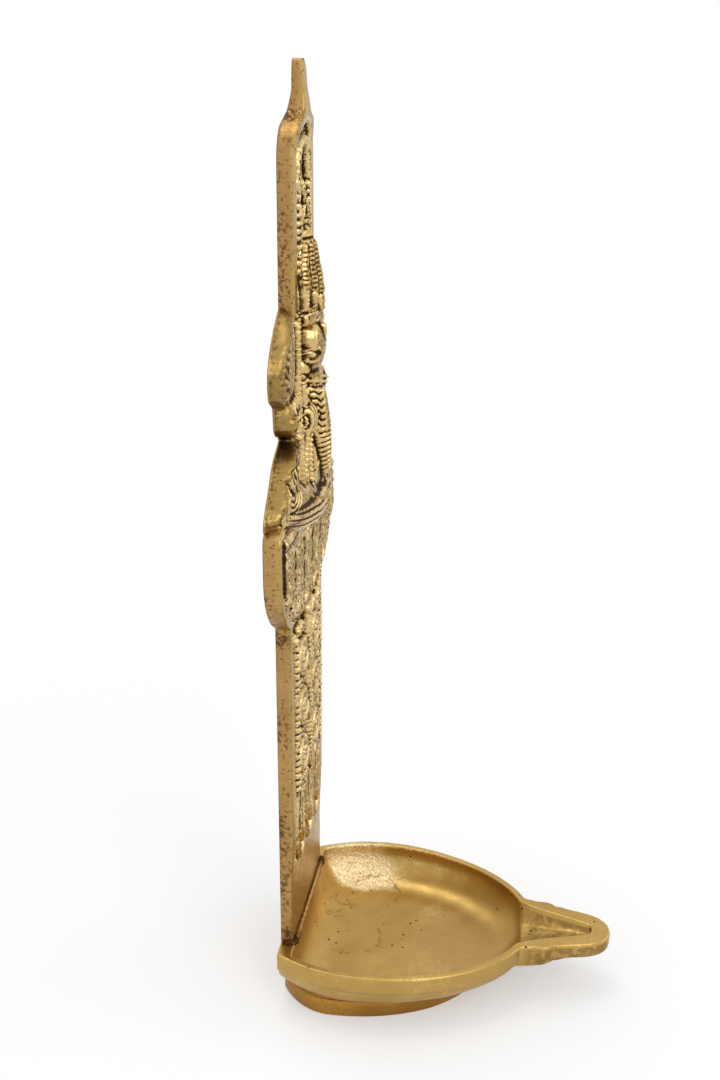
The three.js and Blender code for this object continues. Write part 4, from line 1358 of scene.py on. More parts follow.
@dataclass
class SeatedFigure:
    """The seated elephant-headed figure: crown, head, ears, trunk, body, arms and crossed legs.

    Attributes are sizes in millimetres.
    """

    plate: WallPlate = field(default_factory=WallPlate)
    columns: int = 220
    pitch: float = 0.4
    wrap_depth: float = 1.0
    rim_round: float = 1.1
    strand_x: float = 15.4
    back: float = 0.3

    @property
    def head(self) -> float:
        """Height of the head's middle."""
        return self.plate.head_z

    @property
    def lap(self) -> float:
        """Height of the knees."""
        return self.plate.head_z - 38

    def outline(self) -> tuple[Array, Array]:
        """Heights of the rows and half the figure's width at each."""
        head = self.head
        knots = (
            (-57.0, 3), (-55.5, 9), (-53, 16), (-50, 24), (-47.5, 31), (-45.6, 37), (-44.4, 41.2),
            (-42.5, 42.2), (-40, 41.2), (-37, 38.6), (-34, 35.4), (-31, 32.6), (-28, 30), (-25.6, 26.8),
            (-23.6, 21.6), (-22.4, 18.6), (-21.2, 19.4), (-19.6, 23.6), (-17, 25.8), (-12, 26.4),
            (-9.4, 26.8), (-8, 29.6), (-6, 32), (-2, 33), (2, 32.9), (6, 31), (10, 27.6), (14, 22.8),
            (17.4, 17.2), (19.6, 12.0), (21.4, 11), (24.6, 10.3), (27, 9.4), (31, 7.6), (33.4, 6.6),
            (36, 4.8), (37.6, 3.4), (38.4, 1.2)
        )
        heights = np.array([head + rise for rise, _ in knots])
        halves = np.array([half for _, half in knots])
        levels = np.linspace(heights[0], heights[-1], round((heights[-1] - heights[0]) / self.pitch))
        half = blurred(np.interp(levels, heights, halves)[:, None], 6)[:, 0]
        return levels, np.minimum(half, 41.9)

    def sculpt(self) -> ReliefCanvas:
        """Raises every form of the figure.

        Returns:
            The finished canvas.
        """
        levels, half = self.outline()
        canvas = ReliefCanvas.over(levels, half, self.columns, self.plate.ground + 0.1)
        plate_half = self.plate.half_width(levels)[:, None]
        over_air = np.abs(canvas.x) > plate_half - 1.0
        canvas.height = np.where(over_air, self.wrap_depth, canvas.height)
        legs_end = self.head - 45.2
        lowest = np.where(canvas.z < legs_end, self.plate.ground - 0.4, self.wrap_depth)
        canvas.height = np.where(canvas.z < legs_end, self.plate.ground - 0.4, canvas.height)
        self._body(canvas)
        for side in (-1, 1):
            self._ear(canvas, side)
            self._upper_arm(canvas, side)
            self._leg(canvas, side)
            self._hand(canvas, side)
            self._scarf(canvas, side)
        canvas.stipple(canvas.ground_cover(self.plate.ground + 0.6, 1.2), 0.26, 5)
        self._crown(canvas)
        self._face(canvas)
        self._trunk(canvas)
        canvas.stipple(np.ones(canvas.height.shape), 0.05, 8)
        canvas.height += 0.3 * ripple(canvas.x, canvas.z, 10.0, 0.4) * over_air
        canvas.height = np.maximum(canvas.height, self.wrap_depth - 0.3)
        inward = np.clip((half[:, None] - np.abs(canvas.x)) / self.rim_round, 0, 1)
        rounding = np.sqrt(np.clip(1 - (1 - inward) ** 2, 0, 1))
        canvas.height = lowest + (canvas.height - lowest) * rounding
        return canvas

    def _ear(self, canvas: ReliefCanvas, side: int) -> None:
        """Raises one wide ear with its rolled edge and folds."""
        head = self.head
        canvas.dome((side * 21.0, head + 4.0), (13.0, 14.6), 6.3, 5.3, side * 10, 0.4)
        canvas.dome((side * 24.2, head - 1.4), (9.4, 9.4), 6.2, 5.2, side * -6, 0.8)
        canvas.swell((side * 20.0, head + 4.5), (5.4, 9.8), -0.9, side * 8)
        for x, low, high in ((24.6, -7.0, 10.5), (20.4, -6.0, 13.0)):
            fold = drawn(head, (x - 1.2, high), (x, (low + high) / 2), (x - 2.4, low), side=side)
            canvas.emboss(fold, 0.7, -0.45, True)
        canvas.emboss(drawn(head, (20.0, -2.0), (17.4, -6.2), side=side), 0.7, -0.7, True)
        canvas.dome((side * 17.6, head - 9.2), (2.2, 2.5), 6.6, 3.0, 0, 0.2)
        canvas.dome((side * 17.6, head - 9.2), (1.0, 1.1), 7.2, 1.0, 0, 0.1)

    def _body(self, canvas: ReliefCanvas) -> None:
        """Raises chest and belly, with the thread across them and the belt."""
        head = self.head
        canvas.dome((0, head - 20.0), (13.0, 11.0), 9.6, 5.6, 0, 1.2)
        for side in (-1, 1):
            canvas.dome((side * 5.6, head - 18.6), (5.6, 4.8), 10.0, 3.0, 0, 1.6)
        canvas.dome((0, head - 36.0), (13.0, 13.4), 9.6, 5.4, 0, 1.0)
        for side in (-1, 1):
            hollow = drawn(head, (5.0, -22), (6.2, -30), (6.6, -38), (5.0, -46), side=side)
            canvas.emboss(hollow, 2.6, -3.2, True)
            canvas.tube(hollow, 0.7, (8.4, 9.2), 0.05, ring_pitch=1.6, ring_depth=0.7)
        thread = drawn(head, (8.5, -14.5), (6.5, -21), (1.0, -30.5), (-6.5, -38.5))
        canvas.emboss(thread, 1.0, 0.5)
        canvas.emboss(thread, 0.35, -0.5)
        belt = drawn(head, (-12.6, -41.6), (-7, -44.8), (0, -45.8), (7, -44.8), (12.6, -41.6))
        canvas.emboss(belt, 1.3, 0.7)

    def _upper_arm(self, canvas: ReliefCanvas, side: int) -> None:
        """Raises the upper arm, from the shoulder under the ear down to the elbow."""
        head = self.head
        arm = drawn(head, (15.0, -10.5), (20.4, -11.5), (22.4, -15.5), (21.6, -18.4), side=side)
        canvas.tube(arm, (4.4, 4.4, 4.2, 3.6), (7.2, 6.9, 6.8, 6.6), 0.6)
        canvas.emboss(np.array([(side * 22.8, head - 10.5), (side * 22.4, head - 18.6)]), 0.8, 0.45)
        for shift in (0.0, 1.7):
            points = ((26.4, shift - 17.2), (22.4, shift - 15.2), (17.6, shift - 14.0))
            bangle = drawn(head, *points, side=side)
            canvas.emboss(bangle, 0.75, 0.8)

    def _leg(self, canvas: ReliefCanvas, side: int) -> None:
        """Raises one crossed leg with its draped cloth and foot."""
        lap = self.lap
        thigh = drawn(lap, (6, -6.5), (18, -3.5), (30.5, -1.5), side=side)
        canvas.tube(thigh, (6.6, 7.0, 6.8), (9.8, 8.6, 6.8), 0.8)
        canvas.dome((side * 33.0, lap + 0.4), (9.6, 8.6), 6.9, 5.9, 0, 1.0)
        shin = drawn(lap, (35.0, -4.0), (22, -8.0), (6, -9.8), (-3.5, -10.0), side=side)
        raised = 0.5 if side < 0 else 0.0
        canvas.tube(shin, (3.9, 4.6, 4.6, 3.8), (6.2, 8.8 + raised, 11.7 + raised, 11.9 + raised), 0.25)
        for offset in (-1.9, 0.0, 1.9):
            canvas.emboss(shin + np.array([0, offset]), 0.45, -0.5, True)
        for radius in (1.9, 3.6, 5.3):
            pleat = arc((27.6, lap + 1.4), (radius * 1.25, radius), 185, 350, 16)
            canvas.emboss(pleat * np.array([side, 1.0]), 0.6, -0.7, True)
        for fold in range(4):
            out, drop = 2.7 * fold, 1.3 * fold
            points = ((28.4 + out, 7.4 - drop), (30.6 + out, 1.6 - drop), (29.2 + out, -5.0))
            crease = drawn(lap, *points, side=side)
            canvas.emboss(crease, 0.75, -0.9, True)
        foot = drawn(lap, (-1.5, -10.0), (-6.5, -10.4), (-10.5, -9.6), side=side)
        canvas.tube(foot, (2.8, 2.8, 2.2), (12.2 + raised, 11.8 + raised, 10.8 + raised), 0.1)
        for toe in range(4):
            spot = (side * (-10.6 - 0.5 * toe), lap - 7.9 - 1.3 * toe)
            canvas.dome(spot, (1.05, 0.8), 11.2 + raised - 0.15 * toe, 1.4, 0, 0.1)

    def _hand(self, canvas: ReliefCanvas, side: int) -> None:
        """Raises the hand on the knee: cuffs, knuckles and the long fingers that hang down together."""
        lap = self.lap
        wrist = drawn(lap, (18.0, 14.0), (22.5, 12.6), (25.4, 10.2), side=side)
        canvas.tube(wrist, (3.2, 3.6, 4.0), (6.4, 6.6, 6.6), 0.4)
        for radius in (3.2, 5.2):
            cuff = arc((24.2, lap + 9.4), (radius * 1.1, radius), 20, 165, 14)
            canvas.tube(cuff * np.array([side, 1.0]), 0.9, (7.2, 6.9), 0.1)
        canvas.dome((side * 25.0, lap + 8.6), (6.8, 5.0), 6.4, 4.4, 0, 0.6)
        canvas.emboss(np.array([(side * 31.0, lap + 12.2), (side * 19.4, lap + 13.4)]), 0.5, -0.5)
        for knuckle in range(5):
            x = 29.0 - 2.2 * knuckle
            crest = 6.2 + 0.28 * knuckle
            canvas.tube(
                np.array([(side * x, lap + 13.0), (side * (x - 0.1), lap + 9.6)]), (1.05, 1.0), crest, 0.05
            )
        canvas.emboss(np.array([(side * 31.4, lap + 8.6), (side * 18.8, lap + 8.9)]), 0.6, -0.6)
        for finger in range(4):
            top = 29.6 - 2.8 * finger
            middle = 27.6 - 1.9 * finger
            tip = 24.0 - 0.75 * finger
            line = drawn(lap, (top, 8.0), (middle, 4.4), (tip, 1.0 + 0.2 * finger), side=side, steps=6)
            canvas.tube(line, (1.5, 1.35, 0.8), (6.6 + 0.2 * finger, 7.0 + 0.2 * finger, 6.8), 0.05)

    def _scarf(self, canvas: ReliefCanvas, side: int) -> None:
        """Raises the long scarf that hangs beside the trunk, looped at its end, with its stippled middle."""
        head, x = self.head, self.strand_x
        middle = drawn(head, (x - 3.6, 13), (x - 3.4, -10), (x - 3.8, -36), side=side)
        canvas.tube(middle, (3.0, 3.0, 2.0), (6.0, 6.1, 7.0), 0.2)
        rows, distance, _, _ = canvas.nearest(middle, 2.2)
        cover = np.zeros(canvas.height.shape)
        cover[rows] = np.clip((2.2 - distance) / 0.4, 0, 1)
        pebbles = np.abs(np.sin(math.pi * canvas.x / 1.3) * np.sin(math.pi * canvas.z / 1.3))
        canvas.height += cover * (0.75 * pebbles - 0.5)
        loop = drawn(
            head, (x - 0.6, 13), (x, 0), (x, -18), (x - 0.6, -33), (x - 3.0, -38.5), (x - 5.6, -34.5),
            (x - 7.0, -26), (x - 7.2, -16), (x - 6.4, -8), side=side, steps=10
        )
        canvas.tube(
            loop, (1.15, 1.25, 1.3, 1.2, 1.1, 1.0), (6.9, 7.0, 7.2, 7.9, 8.0, 8.3, 7.2), 0.05, 1.7, 0.5
        )
        canvas.emboss(loop, 0.3, -0.5)
        canvas.emboss(loop + np.array([side * 1.8, 0]), 0.7, -1.3)
        canvas.emboss(loop - np.array([side * 1.5, 0]), 0.4, -0.7)

    def _crown(self, canvas: ReliefCanvas) -> None:
        """Raises the domed crown with its flutes, bands and knob."""
        profile = (
            (10.4, 9.4, 5.0), (11.4, 10.4, 5.9), (14.4, 10.6, 6.0), (15.0, 9.8, 5.3), (15.6, 10.6, 6.0),
            (20.0, 10.8, 6.3), (24.4, 10.2, 6.0), (28.6, 8.8, 5.0), (31.6, 7.4, 4.8), (34.0, 6.2, 4.4),
            (35.6, 5.4, 4.0), (36.2, 4.2, 3.4), (37.0, 4.0, 3.5), (38.0, 2.8, 2.6), (38.6, 0.8, 0.8)
        )
        rise = np.array([row[0] for row in profile])
        rows = canvas.rows(self.head + rise[0], self.head + rise[-1])
        level = canvas.z[rows] - self.head
        half = np.interp(level, rise, [row[1] for row in profile])
        proud = np.interp(level, rise, [row[2] for row in profile])
        share = np.clip(canvas.x[rows] / half, -1, 1)
        inside = np.abs(canvas.x[rows]) < half
        fluted = np.clip((level - 15.8) / 0.8, 0, 1) * np.clip((35.0 - level) / 0.8, 0, 1)
        ribs = np.abs(np.cos(6.5 * np.arcsin(share)))
        flutes = fluted * (1.5 * ribs - 1.1 + 0.3 * (ribs > 0.6) * np.abs(np.sin(math.pi * level / 1.3)))
        form = self.plate.ground + proud * np.sqrt(1 - share**2) + flutes
        canvas.merge(rows, form, inside, 0.2)
        front = self.head + 13.0
        self._gem(canvas, (0, front + 4.0), (2.2, 3.2), 11.2)
        for side in (-1, 1):
            for step, size in ((3.4, 1.3), (6.4, 1.1), (8.6, 0.9)):
                canvas.dome((side * step, front), (size, 1.5), 10.6 - 0.32 * step, 1.4, 0, 0.05)
            self._gem(canvas, (side * 5.4, front + 6.4), (1.3, 2.2), 10.2)

    def _gem(self, canvas: ReliefCanvas, centre: Point, half: Point, crest: float) -> None:
        """Raises a set stone in its ring."""
        canvas.dome(centre, half, crest, 1.4, 0, 0.1)
        canvas.swell(centre, (half[0] * 0.72, half[1] * 0.72), -0.5)
        canvas.dome(centre, (half[0] * 0.5, half[1] * 0.5), crest + 0.15, 0.7, 0, 0.1)

    def _face(self, canvas: ReliefCanvas) -> None:
        """Raises the elephant's face: brow, temples, cheeks, eyes and tusks."""
        head = self.head
        canvas.dome((0, head + 3.0), (8.2, 9.6), 11.4, 6.8, 0, 0.4)
        canvas.emboss(arc((0, head + 3.0), (8.2, 9.4), 200, -20, 24), 0.7, -1.0)
        for side in (-1, 1):
            canvas.dome((side * 3.6, head + 6.0), (4.4, 4.6), 10.7, 2.4, 0, 1.2)
            canvas.dome((side * 5.4, head - 2.8), (3.2, 4.4), 7.6, 3.4, side * -10, 0.6)
            eye = (side * 5.6, head + 1.4)
            canvas.swell(eye, (3.0, 2.0), -0.5, side * 14)
            canvas.dome(eye, (1.05, 2.0), 9.4, 1.0, side * 76, 0.1)
            canvas.dome(eye, (0.7, 0.7), 9.6, 0.5, 0, 0.1)
            lid = drawn(head, (3.0, 2.0), (5.6, 3.5), (8.0, 1.8), side=side)
            canvas.emboss(lid, 0.45, 0.5, True)
            bag = drawn(head, (3.4, -0.2), (5.6, -1.0), (7.6, -0.2), side=side)
            canvas.emboss(bag, 0.4, 0.35, True)
            length = 6.6 if side > 0 else 4.2
            points = ((4.6, -7.4), (6.4, -9.8), (4.6 + 0.55 * length, -7.0 - 0.85 * length))
            tusk = drawn(head, *points, side=side)
            canvas.tube(tusk, (1.6, 1.4, 0.7), (7.2, 7.4, 7.6), 0.1)
        canvas.dome((0.0, head + 7.6), (0.9, 2.6), 11.9, 0.9, 0, 0.1)
        collar = drawn(head, (-8.4, -4.0), (-4.6, -5.4), (4.6, -5.4), (8.4, -4.0))
        canvas.emboss(collar, 0.8, -1.0, True)

    def _trunk(self, canvas: ReliefCanvas) -> None:
        """Raises the trunk, smooth in front above and folded below, down to the curl of its tip."""
        head = self.head
        upper = drawn(head, (0, -2.0), (0, -6), (0, -12), (0.0, -18), (0.2, -23))
        lower = drawn(
            head, (0.2, -21), (0.7, -27), (1.6, -32.5), (3.2, -36.8), (5.8, -38.8), (8.6, -37.4),
            (8.8, -34.2), (6.6, -33.0)
        )
        canvas.tube(
            lower, (4.4, 4.2, 3.8, 3.2, 2.6, 2.1, 1.8), (12.9, 13.1, 13.1, 12.7, 12.0, 11.5, 11.2), 0.1, 1.6,
            0.8
        )
        canvas.tube(upper, (4.8, 5.0, 5.0, 4.8, 4.4), (8.7, 9.9, 11.6, 12.4, 12.9), 0.1)
        canvas.dome((6.6, head - 34.6), (1.9, 1.7), 11.4, 2.0, 0, 0.1)
        canvas.emboss(drawn(head, (-6.0, -8.4), (0, -9.6), (6.0, -8.4)), 1.2, -1.1)
        for side in (-1, 1):
            for start, column, pitch in ((-8.6, 4.3, 2.1), (-9.6, 2.9, 2.1)):
                for fold in range(8):
                    z = head + start - pitch * fold
                    points = ((column + 0.9, 1.0), (column + 0.3, -0.2), (column - 0.8, 0.3))
                    comma = drawn(z, *points, side=side, steps=5)
                    canvas.emboss(comma, 0.5, -0.9, True)

    def rings(self, canvas: ReliefCanvas) -> Array:
        """Closes the figure with an edge that rounds back to its flat back.

        Args:
            canvas: The sculpted front.

        Returns:
            Points by row and place.
        """
        half = canvas.x[:, -1]
        z = canvas.z[:, 0]
        edge = canvas.height[:, -1]
        right = []
        for share in (0.3, 0.65, 1.0):
            outward = 0.3 * math.sin(share * math.pi / 2)
            right.append(joined(half + outward, -edge + (edge - self.back) * share, z))
        return canvas.closed(np.stack(right, axis=1), half + 0.3, np.full(z.shape, -self.back))

    def build(self, finishes: Finishes, beads: StringOfBeads) -> None:
        """Makes the figure and its strings of beads.

        Args:
            finishes: Materials by name.
            beads: Maker of bead strings.
        """
        canvas = self.sculpt()
        rings = self.rings(canvas)
        figure = skin_mesh("seated_figure", rings)
        figure.data.materials.append(finishes[FIGURE_BRASS.name])
        values = np.full(rings.shape[:2], 0.46)
        free = np.abs(canvas.x) > self.plate.half_width(canvas.z[:, 0])[:, None] - 0.5
        rim = np.abs(canvas.x) > canvas.x[:, -1:] - 3.0
        depth = canvas.cavity()
        depth = np.where(free & rim, np.clip(depth, 0.43, 0.56), depth)
        waist = np.exp(-(((canvas.z - self.head + 22.6) / 3.8) ** 2)) * free
        values[:, : self.columns] = np.clip(depth + 0.15 * waist, 0, 1)
        store_values(figure, CAVITY, np.concatenate([values.ravel(), [0.5, 0.5]]))
        fix_to_body(figure, Slot.FIGURE, True)
        jewels = beads.build(
            "figure_jewels", self._bead_paths(canvas), 1.45, 0.66, finishes[PEARL_BRASS.name]
        )
        fix_to_body(jewels, Slot.FIGURE, False)

    def _bead_paths(self, canvas: ReliefCanvas) -> list[Array]:
        """Paths of the beads that the figure wears, laid on its surface."""
        head, lap = self.head, self.lap
        lines = [
            drawn(head, (-7.0, 11.4), (0, 10.9), (7.0, 11.4), steps=14),
            drawn(head, (-7.4, 15.2), (0, 14.9), (7.4, 15.2), steps=14),
            drawn(head, (-5.2, -8.6), (0, -9.6), (5.2, -8.6), steps=12),
        ]
        for side in (-1, 1):
            lines.append(joined(side * np.full(9, -0.8), lap + np.linspace(-13.2, -6.8, 9)))
        lines.append(
            drawn(head, (-12.4, -41.8), (-7, -45.0), (0, -46.0), (7, -45.0), (12.4, -41.8), steps=10)
        )
        paths = []
        for line in lines:
            depth = [-canvas.at(x, z) + 0.2 for x, z in line]
            paths.append(joined(line[:, 0], depth, line[:, 1]))
        return paths


@dataclass(frozen=True)
class Plan:
    """An outline that is flat at the back, widest near the wall and long towards the spout.

    Attributes:
        half: Half its greatest width.
        back_half: Half its width at the back.
        widest_at: Distance of its greatest width from the wall.
        front_reach: Its length from there to the front.
        wobble: Unevenness of its edge.
    """

    half: float
    back_half: float
    widest_at: float
    front_reach: float
    wobble: float = 0.0

    def ring(self, inset: float, back_y: float, z: float) -> Array:
        """The outline, drawn in by a distance.

        Args:
            inset: How far inside the outline.
            back_y: Place of its straight back.
            z: Its height.

        Returns:
            Rows of x, y, z, anticlockwise from above.
        """
        back_reach = self.widest_at / math.sqrt(1 - (self.back_half / self.half) ** 2) - inset
        half = self.half - inset
        reach = self.front_reach - inset
        back_angle = math.asin(min((self.widest_at + back_y) / back_reach, 0.999))
        front = np.linspace(0, math.pi, 120, endpoint=False)
        side = np.linspace(0, back_angle, 20, endpoint=False)
        uneven = 1 - self.wobble * (0.5 + 0.5 * ripple(front * 30, front * 11, 47.0, 0.8)) * np.sin(front)
        right = joined(half * np.cos(side), -self.widest_at + back_reach * np.sin(side))
        corner = half * math.cos(back_angle)
        back = joined(np.linspace(corner, -corner, 24, endpoint=False), np.full(24, back_y))
        nose = joined(-half * np.cos(front) * uneven, -self.widest_at - reach * np.sin(front) * uneven)
        left = (right * np.array([-1.0, 1.0]))[::-1]
        left = np.vstack([[(-corner, back_y)], left])[:20]
        return np.insert(np.vstack([nose, right, back, left]), 2, z, axis=1)


@dataclass
class OilBowl:
    """The bowl with its rim band, wick spout and channel, and the rounded foot under it.

    Attributes are sizes in millimetres.
    """

    plan: Plan = Plan(BOWL_HALF, 32.5, 28.0, 58.0, 0.006)
    foot_plan: Plan = Plan(34.0, 21.0, 18.5, 49.5, 0.008)
    band_height: float = 6.5
    dish_inset: float = 1.2
    rim_width: float = 2.8
    floor_thickness: float = 3.0
    floor_fillet: float = 12.0
    neck_half: float = 13.5
    neck_length: float = 4.0
    root_half: float = 16.0
    spout_thickness: float = 6.0
    channel_end_wall: float = 6.6
    channel_overlap: float = 12.0
    floor_share: float = 0.34
    hollow_back: float = 5.0
    foot_shoulder: float = 1.5
    wall_gap: float = 0.5
    voxel: float = 0.5

    @property
    def front(self) -> float:
        """Distance of the bowl's front from the wall, without the spout."""
        return self.plan.widest_at + self.plan.front_reach

    @property
    def band_low(self) -> float:
        """Height of the band's lower edge."""
        return RIM_Z - self.band_height

    def _band(self) -> Piece:
        """The upright rim band, with small bevels."""
        rows = ((0.5, 0.0), (0.0, 0.5), (0.0, self.band_height - 0.5), (0.5, self.band_height))
        rings = [self.plan.ring(inset, 0, self.band_low + rise) for inset, rise in rows]
        return skin_mesh("band", rings, framed=False)

    def _dish(self) -> Piece:
        """The rounded underside between the band and the foot."""
        edge = self.plan.ring(self.dish_inset, 0, self.band_low)
        footing = self.foot_plan.ring(self.foot_shoulder, -self.wall_gap, self.band_low)
        rings = []
        for turn in np.linspace(math.pi / 2, 0, 12):
            ring = edge + (footing - edge) * (1 - math.cos(turn))
            ring[:, 2] = self.band_low - (self.band_low - FOOT_TOP_Z) * math.sin(turn)
            rings.append(ring)
        rings.append(self.plan.ring(self.dish_inset, 0, self.band_low + self.band_height / 2))
        return skin_mesh("dish", rings, framed=False)

    def _spout(self) -> Piece:
        """The spout: a level shoulder at the neck, small cusps, and a taper to a blunt tip."""
        root_y = -self.front + self.channel_overlap
        tip = -SPOUT_REACH
        taper = curve_through(
            [
                (self.neck_half, -self.front - self.neck_length), (12.4, tip + 20.2), (11.3, tip + 19.0),
                (11.5, tip + 17.8), (10.6, tip + 15.0), (9.7, tip + 11.0), (8.6, tip + 7.0),
                (6.6, tip + 3.2), (3.8, tip + 0.9), (0, tip)
            ],
            5
        )
        right = np.vstack([[(self.root_half, root_y), (self.neck_half, -self.front)], taper])
        left = right[:-1][::-1] * np.array([-1.0, 1.0])
        outline = np.vstack([right, left])[::-1]
        low = RIM_Z - self.spout_thickness
        centre = np.array([0, -self.front])
        rings = []
        for shrink, z in ((0.94, low), (1.0, low + 0.8), (1.0, RIM_Z - 0.4), (0.98, RIM_Z)):
            flat = centre + (outline - centre) * shrink
            ring = np.insert(flat, 2, z, axis=1)
            if z < RIM_Z - 1:
                ring[:, 2] -= 2.6 * np.clip(1 - (-self.front - ring[:, 1]) / 13, 0, 1) ** 1.3
            rings.append(ring)
        return skin_mesh("spout", rings, framed=False)

    def _hollow(self) -> Piece:
        """The space inside the bowl: upright walls that run into a level floor."""
        floor_z = FOOT_TOP_Z + self.floor_thickness
        rings = []
        for turn in np.linspace(math.pi / 2, 0, 14):
            inward = self.floor_fillet * (1 - math.cos(turn))
            depth = (RIM_Z - floor_z) * math.sin(turn)
            rings.append(self.plan.ring(self.rim_width + inward, -self.hollow_back - inward, RIM_Z - depth))
        rings.append(self.plan.ring(self.rim_width - 0.6, -self.hollow_back, RIM_Z + 0.6))
        rings.append(self.plan.ring(self.rim_width - 0.6, -self.hollow_back, RIM_Z + 2))
        return skin_mesh("hollow", rings, framed=False)

    def _channel(self) -> Piece:
        """The space of the wick's channel, wide at the bowl and narrow at the tip."""
        start, end = -self.front + self.channel_overlap, -SPOUT_REACH + self.channel_end_wall
        shares = np.linspace(0, 1, 24)
        width = np.interp(shares, [0, 0.14, 0.3, 0.5, 0.7, 0.9, 1], [18.0, 13.4, 10.2, 7.8, 5.7, 3.5, 1.8])
        depth = np.interp(shares, [0, 0.35, 1], [6.4, 4.6, 2.7])
        middle = start + (end - start) * shares
        rings = []
        for level in (1.0, 0.94, 0.6, 0.25, 0.0, -0.6):
            opening = (1 - max(level, 0)) ** 0.7
            spread = self.floor_share + (1 - self.floor_share) * opening - 0.1 * (level > 0.99)
            z = RIM_Z - depth * level
            right = joined(width * spread, middle, z)
            left = right[::-1] * np.array([-1.0, 1.0, 1.0])
            rings.append(np.vstack([right[::-1], left[::-1]]))
        return skin_mesh("channel", rings, framed=False)

    def build(self, finishes: Finishes) -> None:
        """Makes the bowl and its foot.

        Args:
            finishes: Materials by name.
        """
        body = self._band()
        tools = [
            (self._dish(), "UNION"),
            (self._spout(), "UNION"),
            (self._hollow(), "DIFFERENCE"),
            (self._channel(), "DIFFERENCE"),
        ]
        for tool, operation in tools:
            cut = body.modifiers.new(tool.name, "BOOLEAN")
            cut.object, cut.operation, cut.solver = tool, operation, "EXACT"
        remesh = body.modifiers.new("skin", "REMESH")
        remesh.mode, remesh.voxel_size, remesh.use_smooth_shade = "VOXEL", self.voxel, True
        soft = body.modifiers.new("soft_edges", "SMOOTH")
        soft.factor, soft.iterations = 0.5, 5
        mesh = baked(body)
        for piece in [body, *[tool for tool, _ in tools]]:
            bpy.data.objects.remove(piece)
        points = np.empty(3 * len(mesh.vertices))
        mesh.vertices.foreach_get("co", points)
        points = points.reshape(-1, 3)
        points[:, 2] += 0.10 * ripple(points[:, 0], points[:, 1], 34.0, 0.9) * (points[:, 2] < RIM_Z - 3)
        points[:, 1] = np.clip(points[:, 1], -SPOUT_REACH, 0)
        points[:, 2] = np.minimum(points[:, 2], RIM_Z)
        outer = np.clip((points[:, 0] - 12) / 22, 0, 1) * np.exp(-(((points[:, 1] + 30) / 26) ** 2))
        points[:, 2] += 0.9 * outer * np.clip((points[:, 2] - 12) / 8, 0, 1)
        mesh.vertices.foreach_set("co", to_frame(points).ravel())
        mesh.name = "oil_bowl_cast"
        bowl = linked("bowl_and_spout", mesh)
        mesh.materials.clear()
        mesh.materials.append(finishes[BOWL_BRASS.name])
        fix_to_body(bowl, Slot.BOWL, True)
        self._foot(finishes)

    def _foot(self, finishes: Finishes) -> None:
        """Makes the foot, ground flat where it comes near the wall."""
        top = FOOT_TOP_Z
        profile = (
            (20.0, 2.0), (8.2, 2.0), (7.0, 1.2), (6.2, 0.2), (5.6, 0), (0.9, 0), (0.3, 0.2), (0.0, 0.6),
            (0.0, 2.2), (0.0, 4.4), (0.3, 5.8), (0.9, 6.4), (1.5, 6.6), (1.2, 7.0), (1.7, top + 0.3),
            (20.0, top + 0.3)
        )
        rings = []
        for inset, z in profile:
            setback = -self.wall_gap - (inset if inset > 3 else 0.25 * inset)
            rings.append(self.foot_plan.ring(min(inset, 14.0), setback, z))
        foot = skin_mesh("rounded_foot", rings)
        foot.data.materials.append(finishes[SHADED_FOOT_BRASS.name])
        fix_to_body(foot, Slot.FOOT, True)


@dataclass
class BrazeSeam:
    """The uneven run of braze where the plate stands on the bowl.

    Attributes are sizes in millimetres.
    """

    half: float = 25.4
    front: float = 5.0
    radius: float = 1.15
    steps: int = 260
    around: int = 14

    def path(self) -> Array:
        """Round the near end, along the front and round the far end."""
        corner = self.half + 0.1
        legs = np.array([(-corner, -0.8), (-corner, -self.front), (corner, -self.front), (corner, -0.8)])
        lengths = np.hypot(*np.diff(legs, axis=0).T)
        marks = np.concatenate([[0], np.cumsum(lengths)])
        spread = np.linspace(0, marks[-1], self.steps)
        return joined(np.interp(spread, marks, legs[:, 0]), np.interp(spread, marks, legs[:, 1]))

    def build(self, finishes: Finishes) -> None:
        """Makes the seam.

        Args:
            finishes: Materials by name.
        """
        random = np.random.default_rng(7)
        path = self.path()
        lumps = blurred(random.normal(0, 1, (self.steps, 1)), 6)[:, 0] * 1.5
        fine = blurred(random.normal(0, 1, (self.steps, self.around)), 1) * 0.35
        at_end = np.clip((np.abs(path[:, 0]) - 14) / 10, 0.0, 1)
        thick = self.radius * (0.62 + 0.38 * at_end) * np.clip(1 + 0.3 * lumps, 0.5, 1.6)
        ahead = np.gradient(path, axis=0)
        ahead /= np.maximum(np.linalg.norm(ahead, axis=1), 1e-6)[:, None]
        out = joined(ahead[:, 1], -ahead[:, 0])
        turn = np.linspace(0, 2 * math.pi, self.around, endpoint=False)
        rings = []
        for place, size, side, rough in zip(path, thick, out, fine):
            reach = size * (1 + 0.3 * rough)
            x = place[0] + side[0] * reach * np.cos(turn)
            y = np.minimum(place[1] + side[1] * reach * np.cos(turn), -0.1)
            z = RIM_Z + 0.1 + 1.15 * reach * np.sin(turn)
            rings.append(joined(x, y, z))
        seam = skin_mesh("braze_seam", rings)
        shell = bmesh.new()
        shell.from_mesh(seam.data)
        bmesh.ops.recalc_face_normals(shell, faces=shell.faces)
        shell.to_mesh(seam.data)
        shell.free()
        seam.data.polygons.foreach_set("use_smooth", np.ones(len(seam.data.polygons), bool))
        seam.data.materials.append(finishes[BRAZE_BRASS.name])
        brown = np.repeat(0.34 + 0.4 * at_end + 0.06 * lumps, self.around)
        store_values(seam, CAVITY, np.concatenate([brown, [0.6, 0.6]]))
        fix_to_body(seam, Slot.BRAZE, True)


